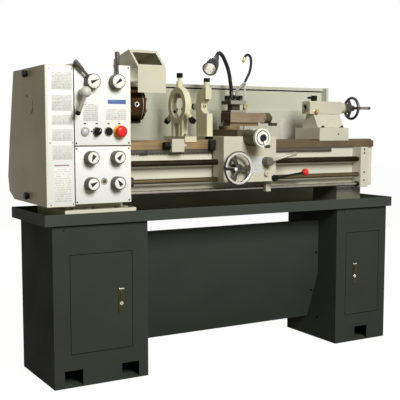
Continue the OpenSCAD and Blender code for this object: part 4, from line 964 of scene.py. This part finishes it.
# Chuck guard: a folded cream hood with an open window, hinged on a rod that leaves the headstock.
# It is bent from one sheet and sprayed like the castings.
casting_enamel = enamel("casting_enamel", (0.60, 0.585, 0.47), bare_iron, sheen=0.12)
dress("chuck_guard", casting_enamel, 0.0007)

# Carriage: a painted saddle casting on the ways with black felt wipers, and the apron hung from it by
# hidden screws. A pale plate sits beside the half-nut lever, and below it a cream knob with a dark
# middle engages the feed.
dress("saddle", casting_enamel, 0.003)
dress("apron", casting_enamel, 0.004)
saddle_low, saddle_high = span("saddle")
apron_y = saddle_low[1]
centre_height = 160
way_z = axis_z - centre_height
apron_x0 = saddle_low[0]
apron_x1 = saddle_high[0]
saddle_top = way_z + 24
felt = moulded("wiper_felt", (0.012, 0.012, 0.011), 0.8, 0.25, 700.0, 0.15)
wipers = bmesh.new()
for x0, x1 in ((apron_x0 - 3, apron_x0 + 0.2), (apron_x1 - 0.2, apron_x1 + 5)):
    block(wipers, (x0, -104, way_z + 11), (x1, -40, way_z + 22), 1.0)
    block(wipers, (x0, 42, way_z + 2), (x1, 104, way_z + 22), 1.0)
block(wipers, (apron_x0 - 26, -128, way_z - 36), (apron_x0 + 0.2, -106, way_z + 8), 2.0)
make("way_wipers", wipers, felt, "carriage")
low = (apron_x1 - 129.5, way_z - 146)
high = (apron_x1 - 78, way_z - 66)
apron_print = printed("apron_print", low, high, 5, (0.47, 0.48, 0.50), (0.66, 0.68, 0.70), 7.0, 0.52)
plate("apron_plate", low, high, apron_y, apron_print, "carriage")
knob_at = (apron_x1 - 55, apron_y, way_z - 142)
profile = [(0, 12), (2, 12), (3, 11.3), (11, 11.3), (12.6, 10), (12.6, 6.5), (10, 6)]
spun("feed_knob", profile, knob_at, front, 30, casting_enamel, "carriage")
profile = [(9, 6.4), (11.5, 6.2), (12, 3.0), (12, 0)]
spun("feed_knob_middle", profile, knob_at, front, 24, black_plastic, "carriage")

# Carriage handwheel: a polished rim, dark at its edges, on three wide dark spokes that flare to the
# rim, with a long turned handle that spins on its pin. The hub is keyed to a shaft in the apron.
back = (0, 1, 0)
three_ways = (90, 210, 330)
bright_rim = steel("bright_rim", (0.66, 0.64, 0.59), 0.2, (120.0, 120.0, 120.0), 0.12)
wheel_dark = steel("wheel_dark", (0.075, 0.070, 0.058), 0.36, coarse_lines, 0.3)
wheel_at = Vector((apron_x0 + 52, apron_y - 38, way_z - 113))


def ring_rim(shape, centre, axis, big, small, sides=72, around=18):
    """A rim of round section about an axis."""
    along, across, third = frame_on(axis)
    spots = [2 * math.pi * j / around for j in range(around)]
    rings = []
    for k in range(sides):
        out = round_way(across, third, 2 * math.pi * k / sides)
        offsets = [out * (big + small * math.cos(a)) + along * (small * math.sin(a)) for a in spots]
        rings.append([shape.verts.new(Vector(centre) + step) for step in offsets])
    skinned(shape, rings + rings[:1], False)


rim = bmesh.new()
ring_rim(rim, wheel_at, back, 66, 7.9)
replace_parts(make("carriage_rim", rim, wheel_dark, "carriage_wheel"), "carriage_wheel")
profile = [(4.5, 58.6), (7.4, 60.6), (8.4, 63), (8.4, 67.5), (7.9, 69.5), (5.5, 70.6)]
spun("carriage_rim_face", profile, wheel_at, front, 72, bright_rim, "carriage_wheel", False)
spokes = bmesh.new()
for angle in three_ways:
    slab_at(spokes, (-8.5, -5.4, 12), (8.5, 5.4, 62), wheel_at, angle, 2.5)
    slab_at(spokes, (-14, -5, 40), (14, 5, 61), wheel_at, angle, 2.5)
profile = [(0.4, 18), (3, 20), (40, 20), (45, 18), (46, 14), (46, 8), (43, 8), (43, 0)]
turned(spokes, profile, (wheel_at.x, apron_y, wheel_at.z), front, 40)
make("carriage_spokes", spokes, wheel_dark, "carriage_wheel")
handle_at = wheel_at + Vector((-66, 0, 0))
profile = [(-4, 6), (8, 6), (9, 8.4), (30, 7.2), (66, 9.0), (80, 8.8), (82, 8.4)]
spun("carriage_handle", profile, handle_at, front, 28, wheel_dark, "carriage_wheel")
profile = [(81, 8.7), (84, 8.6), (87.4, 6.4), (88.6, 3), (88.8, 0)]
spun("carriage_handle_cap", profile, handle_at, front, 28, bright_rim, "carriage_wheel")

# Apron levers: the half-nut lever with a grey hub and a light tapered grip, and the start lever,
# a black arm with a red ball. Both turn on shafts in the apron.
hub_grey = moulded("hub_grey", (0.13, 0.124, 0.097), 0.34, sheen=0.3)
nut_at = Vector((apron_x1 - 56, apron_y, way_z - 88))
profile = [(0.4, 21), (2, 21), (4, 20), (34, 20), (37, 18), (38, 14), (38, 0)]
hub = spun("half_nut_hub", profile, nut_at, front, 40, hub_grey, "half_nut_lever")
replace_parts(hub, "half_nut_lever")
grip_light = steel("grip_light", (0.42, 0.39, 0.315), 0.36, (60.0, 300.0, 300.0), 0.25, metal=0.5)
profile = [(14, 6.4), (98, 4.8), (100, 6.2), (146, 9), (150, 8), (152, 4), (152, 0)]
arm_at = nut_at + Vector((0, -28, 0))
spun("half_nut_arm", profile, arm_at, aimed(77), 24, grip_light, "half_nut_lever")
start_at = Vector((apron_x1 - 10, apron_y, way_z - 163))
start_way = aimed(82.5)
arm_at = start_at + Vector((0, -14, 0))
arm = bmesh.new()
turned(arm, [(0.4, 14), (3, 14), (4, 13), (17, 13), (20, 10), (20, 0)], start_at, front, 32)
turned(arm, [(6, 6.2), (100, 5.2), (152, 5.2)], arm_at, start_way, 24)
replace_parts(make("start_arm", arm, black_plastic, "start_lever"), "start_lever")
arc = [k / 14 * math.pi for k in range(1, 15)]
profile = [(148, 6.5)] + [(166 - 17 * math.cos(a), 17 * math.sin(a)) for a in arc]
spun("start_ball", profile, arm_at, start_way, 32, red_plastic, "start_lever")

# Cross slide and its screw: a dark oiled slide on a dovetail, moved by a graduated drum and crank.
# The drum is knurled, its dial is white with a black ring and division lines, and the crank has a
# small turned grip.
along_y = (500.0, 40.0, 500.0)
slide_steel = steel("slide_steel", (0.11, 0.086, 0.058), 0.40, along_y, 0.5, metal=0.1, sheen=0.1)
drum_olive = steel("drum_olive", (0.092, 0.086, 0.046), 0.36, (60.0, 700.0, 60.0), 0.3, metal=0.5, sheen=0.2)
dress("cross_slide", slide_steel, 0.0015)


def dial(shape, start, axis, radius, wide, divisions, long_every, height=0.35):
    """Division lines standing on a drum's rim."""
    along, across, third = frame_on(axis)
    for k in range(divisions):
        out = round_way(across, third, 2 * math.pi * k / divisions)
        side = along.cross(out) * 0.45
        reach = along * (wide if k % long_every == 0 else wide * 0.55)
        foot = [Vector(start) + out * (radius - 0.2) + c for c in (side, reach + side, reach - side, -side)]
        lower = [shape.verts.new(c) for c in foot]
        upper = [shape.verts.new(c + out * (height + 0.2)) for c in foot]
        skinned(shape, [lower, upper])


def lobed(shape, start, axis, sections, valley, crest, lobes, steps):
    """A hand knob or knurl: lobes between two radii, with pairs of distance and share of the radius."""
    along, across, third = frame_on(axis)
    sides = lobes * steps
    rings = []
    for distance, share in sections:
        ring = []
        for k in range(sides):
            turn = 2 * math.pi * k / sides
            r = share * (valley + (crest - valley) * (0.5 + 0.5 * math.cos(lobes * turn)))
            out = round_way(across, third, turn)
            ring.append(shape.verts.new(Vector(start) + along * distance + out * r))
        rings.append(ring)
    skinned(shape, rings)


def knurled_drum(name, body, profile, start, axis, sides, knurl, radius, teeth):
    """A turned drum with a knurled band between two distances along its axis."""
    shape = bmesh.new()
    turned(shape, profile, start, axis, sides)
    lobed(shape, start, axis, [(distance, 1) for distance in knurl], radius - 0.5, radius, teeth, 2)
    return make(name, shape, drum_olive, body, 25)


cross_at = Vector((apron_x0 + 135.5, apron_y, way_z + 18))
crank_turn = 158
profile = [(-56, 8.8), (0.3, 8.8), (0.3, 30), (1.0, 37), (60, 37), (61, 36)]
drum = knurled_drum("cross_drum", "cross_crank", profile, cross_at, front, 56, (60.5, 83.5), 37, 60)
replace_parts(drum, "cross_crank")
ring_white = bmesh.new()
profile = [(83, 30), (83, 39.6), (84, 40), (99, 40), (100, 39), (100, 33), (99, 32), (99, 10)]
turned(ring_white, profile, cross_at, front, 64)
turned(ring_white, [(98.5, 29), (100.4, 28.6), (100.8, 27.6), (100.8, 15), (99, 14)], cross_at, front, 56)
slab_at(ring_white, (-7.3, -108.3, 12), (7.3, -99.2, 47.3), cross_at, crank_turn, 2.4)
make("cross_dial", ring_white, plain_white, "cross_crank")
lines = bmesh.new()
dial(lines, cross_at + Vector((0, -84, 0)), front, 40, 9, 60, 5)
turned(lines, [(98.4, 32.6), (99.6, 32.2), (99.6, 28.8), (98.4, 28.4)], cross_at, front, 56)
turned(lines, [(98, 15.4), (107, 15.4), (108.4, 14.4), (108.4, 6), (106, 5), (106, 0)], cross_at, front, 32)
make("cross_dial_lines", lines, pointer_black, "cross_crank")
grip_at = cross_at + aimed(crank_turn) * 39 + Vector((0, -100, 0))
profile = [(-1, 5), (4, 5), (5, 7), (14, 6.2), (26, 7.2), (29.5, 5.5), (30, 0)]
spun("cross_grip", profile, grip_at, front, 24, lever_dark, "cross_crank")

# Compound: a swivel base on the cross slide and a top slide on its dovetail, with a knurled dial and crank.
# Both are scraped steel, brown with oil, and their faces that look to the left, toward the chuck, are
# darkened with painted shade.
turned_round = (40.0, 40.0, 700.0)
swivel_steel = steel("swivel_steel", (0.24, 0.178, 0.100), 0.36, turned_round, 0.45, metal=0.1, sheen=0.15)
scraped = (30.0, 500.0, 500.0)
brown_oil = (0.15, 0.105, 0.07)
compound_steel = steel("compound_steel", (0.29, 0.23, 0.150), 0.36, scraped, 0.4, brown_oil, 0.06, 0.1)
painted_shade = (0.030, 0.022, 0.013)
# Painted shade on the faces that look to the left, toward the chuck.
for finish in (swivel_steel, compound_steel):
    painted_over(finish, painted_shade, "Normal", "X", -0.5, -0.9, 0.85)
dress("swivel_base", swivel_steel, 0.0012)
dress("top_slide", compound_steel, 0.0015)
slide_high = span("top_slide")[1]
swivel_low = span("swivel_base")[0]
post_low, post_high = span("tool_post")
post_mid = ((post_low[0] + post_high[0]) / 2, (post_low[1] + post_high[1]) / 2)
swivel_marks = bmesh.new()
dial(swivel_marks, (apron_x0 + 139.5, post_mid[1], swivel_low[2] + 9), up, 48, 6, 72, 6, 0.25)
make("swivel_scale", swivel_marks, pointer_black, "swivel_base")
top_at = Vector((slide_high[0] + 0.3, post_mid[1], swivel_low[2] + 54))
profile = [(-33, 7.8), (0.2, 7.8), (0.2, 22), (0.8, 25), (18, 25), (18.5, 24)]
drum = knurled_drum("top_drum", "top_crank", profile, top_at, right, 48, (18.2, 39.7), 25, 44)
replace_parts(drum, "top_crank")
lines = bmesh.new()
dial(lines, top_at + Vector((1.5, 0, 0)), right, 25, 8, 40, 5)
make("top_dial_lines", lines, plain_white, "top_crank")
crank = bmesh.new()
turned(crank, [(39, 13), (53, 13), (53.6, 12), (53.6, 5), (52, 4), (52, 0)], top_at, right, 28)
block(crank, top_at + Vector((42.7, -7, -36)), top_at + Vector((52.7, 7, 0)), 2.2)
profile = [(-1, 5), (3, 5), (4, 8), (16, 6.8), (31, 8), (35, 6), (35.6, 0)]
turned(crank, profile, top_at + Vector((52.2, 0, -29)), right, 24)
make("top_arm", crank, wheel_dark, "top_crank")

# Tool post: a four-way steel turret with eight black clamping screws, held on the top slide by a lever.
# Ground plates above and below a square core hold the tool shanks; the core and the faces that look to the
# left are darkened with painted shade.
post_grey = (0.31, 0.297, 0.26)
post_steel = steel("post_steel", post_grey, 0.36, (300.0, 300.0, 40.0), 0.3, metal=0.06, sheen=0.1)
post_top = post_high[2] - 16
core_top = (post_top - 17) / 1000
core_foot = (post_low[2] + 11) / 1000
# Painted shade: the core between the plates is made dark, the lower plate keeps its grey, and the faces that
# look to the left are darkened too.
painted_over(post_steel, painted_shade, "Object", "Z", core_top, core_top - 0.002, 0.9)
painted_over(post_steel, post_grey, "Object", "Z", core_foot + 0.001, core_foot, 1.0)
painted_over(post_steel, painted_shade, "Normal", "X", -0.5, -0.9, 0.85)
dress("tool_post", post_steel, 0.001)
heads = bmesh.new()
profile = [(0, 7.2), (3, 7.2), (3.2, 6.2), (5, 6.2), (5.2, 7.2), (22.6, 7.2), (23.4, 6.4), (23.4, 0)]
for quarter in range(4):
    turn = Matrix.Rotation(math.pi / 2 * quarter, 3, "Z")
    for side in (-16, 16):
        spot = turn @ Vector((side, 31, 0)) + Vector((*post_mid, post_top))
        turned(heads, profile, spot, up, 6)
make("post_screw_heads", heads, black_plastic, "tool_post", 20)
lever_steel = steel("lever_steel", (0.24, 0.228, 0.195), 0.3, even_lines, 0.2, metal=0.6)
lock = bmesh.new()
turned(lock, [(0.4, 11), (30, 11), (38, 10), (42, 7), (42, 0)], (*post_mid, post_top), up, 32)
profile = [(4, 5.2), (35, 5.0), (37, 7.0), (70, 9.0), (74, 8), (76, 4), (76, 0)]
turned(lock, profile, (*post_mid, post_top + 34), aimed(52), 24)
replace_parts(make("post_lock_lever", lock, lever_steel, "tool_lever"), "tool_lever")

# Rests and carriage stop: painted castings on the ways and on the saddle, with steel fingers run by
# black star knobs, and a clamp block whose screw stops the carriage.
rest_enamel = enamel("rest_enamel", (0.69, 0.655, 0.47), bare_iron, 420.0, 0.42, 0.6, 0.12)
finger_steel = steel("finger_steel", (0.13, 0.10, 0.07), 0.36, coarse_lines, 0.3)
for name in ("steady_rest", "follow_rest"):
    dress(name, rest_enamel, 0.0022)
dress("carriage_stop", casting_enamel, 0.0018)


def star(shape, start, axis, thick, valley, crest):
    """A five-lobed hand knob on a screw."""
    sections = ((0, 0.97), (thick * 0.07, 1), (thick * 0.93, 1), (thick, 0.97))
    lobed(shape, start, axis, sections, valley, crest, 5, 12)


low, high = span("steady_rest")
steady_at = Vector(((low[0] + high[0]) / 2, 0, axis_z))
stars = bmesh.new()
fingers = bmesh.new()
for angle in three_ways:
    way = spoke(angle)
    star(stars, steady_at + way * 122.7, way, 19.7, 12.4, 14.6)
    turned(fingers, [(31.6, 0), (31.6, 5), (34, 8.3), (54, 8.3)], steady_at, way, 24)
make("steady_star_knobs", stars, black_plastic, "steady_rest", 30)
make("steady_fingers", fingers, finger_steel, "steady_rest")
nut = bmesh.new()
profile = [(0, 15), (2, 15), (2.2, 10), (11, 10), (11.6, 9), (11.6, 0)]
turned(nut, profile, (steady_at.x, -62, way_z + 23.6), up, 6)
make("steady_clamp_nut", nut, dark_screw, "steady_rest", 20)
follow_at = Vector((apron_x0 + 29, 0, axis_z))
stars = bmesh.new()
fingers = bmesh.new()
for angle, start, tip in ((90, 82, 26), (0, 75, 12)):
    way = spoke(angle)
    star(stars, follow_at + way * (start + 24.8), way, 17.6, 12.4, 15.0)
    turned(fingers, [(tip - 0.4, 0), (tip - 0.4, 4.4), (tip + 1.5, 7), (tip + 24, 7)], follow_at, way, 24)
make("follow_star_knobs", stars, black_plastic, "carriage", 30)
make("follow_fingers", fingers, finger_steel, "carriage")
stop_low = span("carriage_stop")[0]
stop_knob = bmesh.new()
star(stop_knob, (stop_low[0] - 0.4, -123, way_z - 15), right, 24.8, 15.6, 18.5)
make("stop_star_knob", stop_knob, black_plastic, "carriage_stop", 30)

# Work lamp: a black shade on a ribbed flexible arm that stands on the back of the saddle.
# The shade is spun sheet with a bright reflector inside and a small bulb.


def smooth_route(points, every):
    """A smooth curve through points, as evenly spaced places."""
    spots = [Vector(p) for p in points]
    spots = [spots[0] * 2 - spots[1]] + spots + [spots[-1] * 2 - spots[-2]]
    fine = []
    for k in range(1, len(spots) - 2):
        a, b, c, d = spots[k - 1:k + 3]
        bend = 2 * a - 5 * b + 4 * c - d
        twist = 3 * b - a - 3 * c + d
        for t in (j / 12 for j in range(12)):
            fine.append(0.5 * (2 * b + (c - a) * t + bend * t ** 2 + twist * t ** 3))
    fine.append(spots[-2])
    even = [fine[0]]
    for spot in fine:
        if (spot - even[-1]).length >= every:
            even.append(spot)
    return even + [fine[-1]] if (fine[-1] - even[-1]).length > every * 0.3 else even


def hose(shape, route, radii, sides=20):
    """A tube along a route; its radius runs through the given list again and again, as ribs."""
    across = (route[1] - route[0]).normalized().orthogonal().normalized()
    rings = []
    for k, spot in enumerate(route):
        ahead = (route[min(k + 1, len(route) - 1)] - route[max(k - 1, 0)]).normalized()
        across = (across - ahead * across.dot(ahead)).normalized()
        third = ahead.cross(across)
        r = radii[k % len(radii)]
        ways = [round_way(across, third, 2 * math.pi * j / sides) for j in range(sides)]
        rings.append([shape.verts.new(spot + way * r) for way in ways])
    skinned(shape, rings)


lamp_black = moulded("lamp_black", (0.010, 0.010, 0.009), 0.36, sheen=0.18)
reflector = steel("reflector", (0.78, 0.77, 0.72), 0.24, coarse_lines, 0.04, metal=0.8)
bulb_glass = moulded("bulb_glass", (0.86, 0.85, 0.80), 0.12, 0.03)
bulb_skin = skin_of(bulb_glass)
bulb_skin["Emission Color"].default_value = (1.0, 0.97, 0.90, 1.0)
bulb_skin["Emission Strength"].default_value = 1.0
lamp_x = apron_x0 + 138.5
arm_route = [(94, 105, 16), (94, 107, 80), (94, 110, 150), (93, 112, 218), (88, 112, 255), (83, 112, 285),
             (73, 111, 318), (60, 110, 345), (48, 107, 364), (36, 103, 377), (24, 99, 384), (12, 95, 385),
             (2, 90, 378), (-6, 86, 365)]
arm_route = [(lamp_x + x, y, saddle_top + z) for x, y, z in arm_route]
arm = bmesh.new()
hose(arm, smooth_route(arm_route, 2.0), [9.2, 9.2, 8.5])
base_at = (arm_route[0][0], arm_route[0][1], saddle_top)
turned(arm, [(0, 17), (12, 17), (14, 16), (16, 13), (22, 10.4)], base_at, up, 32)
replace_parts(make("lamp_arm", arm, lamp_black, "carriage", 60), "work_lamp")
shade_at = Vector(arm_route[-1])
shade_way = Vector((-77, -67, -62))
profile = [(0.4, 0), (0.4, 13), (2, 15), (26, 18), (42, 22), (56, 27), (72, 31), (86, 33), (118, 34),
           (119, 33.2), (119, 29.6), (113, 29.4)]
spun("lamp_shade", profile, shade_at, shade_way, 48, lamp_black, "carriage", False)
profile = [(113, 29.5), (104, 29.3), (87, 28.8), (72, 27), (58, 23.6), (46, 18.8), (34, 13.4), (34, 0)]
spun("lamp_reflector", profile, shade_at, shade_way, 48, reflector, "carriage", False)
arc = [a / 8 * math.pi / 2 for a in range(9)]
profile = [(34, 8), (46, 8), (54, 10.5)] + [(62 + 12 * math.sin(a), 12 * math.cos(a)) for a in arc]
spun("lamp_bulb", profile, shade_at, shade_way, 28, bulb_glass, "carriage")

# Coolant pipe: a plated pipe on a small bracket, a brass tap and a black flexible spout.
# The tap's key is a flat bar across its body, and the spout ends in a brass nozzle.
pipe_chrome = steel("pipe_chrome", (0.70, 0.68, 0.63), 0.18, (60.0, 60.0, 400.0), 0.1)
tap_brass = steel("tap_brass", (0.50, 0.37, 0.14), 0.3, (500.0, 500.0, 60.0), 0.25)
spout_y = 85
hose_route = [(152, 251), (157, 262), (166, 278), (176, 295), (183, 315), (187, 338), (188, 355), (184, 372),
              (175, 382), (163, 383), (153, 374), (147, 361), (142, 349)]
hose_route = [(lamp_x + x, spout_y, saddle_top + z) for x, z in hose_route]
pipe_at = Vector((hose_route[0][0], spout_y, saddle_top))
spout = bmesh.new()
hose(spout, smooth_route(hose_route, 1.6), [6.4, 6.4, 5.7])
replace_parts(make("coolant_spout", spout, lamp_black, "carriage", 60), "coolant_pipe")
pipe = bmesh.new()
turned(pipe, [(8, 5), (126, 5)], pipe_at, up, 24)
turned(pipe, [(163, 4.5), (244, 4.5), (246, 7.2), (253, 7.2), (254, 6.0)], pipe_at, up, 24)
foot = saddle_top + 0.1
block(pipe, (apron_x1 - 20, pipe_at.y - 10, foot), (pipe_at.x + 9, pipe_at.y + 10, foot + 12), 1.5)
make("coolant_tube", pipe, pipe_chrome, "carriage")
tap = bmesh.new()
profile = [(123, 5), (124, 8), (128, 9), (134, 9), (134.5, 7.6), (156, 7.6), (156.5, 9), (162, 9), (166, 7.5),
           (167, 4.5)]
turned(tap, profile, pipe_at, up, 28)
block(tap, pipe_at + Vector((-4, -4, 140)), pipe_at + Vector((16, 4, 148)), 1.5)
nozzle_end = Vector(hose_route[-1])
nozzle_way = nozzle_end - Vector(hose_route[-2])
profile = [(-22, 6.0), (-21, 7.0), (-0.6, 7.0), (0.3, 6.4), (0.3, 3.4), (-2, 3.0)]
turned(tap, profile, nozzle_end, nozzle_way, 24)
make("coolant_tap", tap, tap_brass, "carriage")

# Tailstock: a cream casting in two halves with a visible joint, a ground quill and a dark handwheel.
# It slides on the ways. A black clamp lever stands on top and a brass knob locks the quill.
dress("tailstock", casting_enamel, 0.003)
quill_steel = steel("quill_steel", (0.30, 0.285, 0.225), 0.28, (500.0, 40.0, 40.0), 0.3, metal=0.6)
dress("quill", quill_steel, 0.001)
nose_x = span("quill")[0][0] - 12
split_z = way_z + 63
low = (nose_x + 45, -61.6, split_z - 1.2)
bar("tailstock_joint", low, (nose_x + 204, 61.6, split_z + 1.2), 0.3, joint_dark, "tailstock")
clamp = bmesh.new()
clamp_at = Vector((nose_x + 66, 0, axis_z + 31))
block(clamp, clamp_at + Vector((-11.5, -11.5, 2)), clamp_at + Vector((11.5, 11.5, 28.3)), 2.5)
profile = [(0, 6.2), (30, 6.2), (32, 6.5), (42, 6.6), (45.4, 5), (46.3, 0)]
turned(clamp, profile, clamp_at + Vector((0, 0, 19)), back, 24)
make("quill_clamp", clamp, black_plastic, "tailstock")
lock_at = (nose_x + 52, -31, axis_z - 19)
profile = [(-0.2, 11), (2, 11), (3, 9.3), (18.9, 9.3), (19.3, 8.8), (19.3, 5), (18.9, 4), (18.9, 0)]
spun("quill_lock_knob", profile, lock_at, front, 28, tap_brass, "tailstock")
tail_bolts = bmesh.new()
profile = [(0, 10), (2, 10), (2.2, 7.5), (9, 7.5), (9.8, 6.6), (9.8, 0)]
for x in (nose_x + 64, nose_x + 182):
    turned(tail_bolts, profile, (x, -76, split_z - 0.2), up, 6)
screw_head(tail_bolts, (nose_x + 143, span("tailstock")[0][1], way_z + 32), front, 4, 1.6)
make("tailstock_bolts", tail_bolts, dark_screw, "tailstock", 20)
tail_at = Vector((nose_x + 305, 0, axis_z))
rim = bmesh.new()
ring_rim(rim, tail_at, right, 52, 7)
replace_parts(make("tail_rim", rim, wheel_dark, "tail_wheel"), "tail_wheel")
spokes = bmesh.new()
for angle in three_ways:
    slab_at(spokes, (-5, -7, 10), (5, 7, 48), tail_at, angle, 2, "X")
turned(spokes, [(-100, 10), (-61, 10)], tail_at, right, 24)
turned(spokes, [(-22, 15), (9, 15), (11.4, 13), (12, 9), (12, 0)], tail_at, right, 32)
make("tail_spokes", spokes, lever_dark, "tail_wheel")
profile = [(-61.4, 18), (-61.2, 23.4), (-60.6, 24), (-44, 24), (-43, 23)]
knurled_drum("tail_drum", "tail_wheel", profile, tail_at, right, 48, (-43.4, -20.4), 24, 50)
lines = bmesh.new()
dial(lines, tail_at + Vector((-60, 0, 0)), right, 24, 9, 50, 5)
make("tail_dial_lines", lines, plain_white, "tail_wheel")
handle_at = tail_at + Vector((0, -52, 0))
profile = [(-4, 5.5), (8, 5.5), (9, 8.0), (24, 7.0), (58, 8.0), (60, 8.0)]
spun("tail_handle", profile, handle_at, right, 28, lever_steel, "tail_wheel")
profile = [(59.5, 7.8), (61, 8.0), (70, 7.8), (75, 6.4), (77.4, 4), (78, 0)]
spun("tail_handle_end", profile, handle_at, right, 28, black_plastic, "tail_wheel")
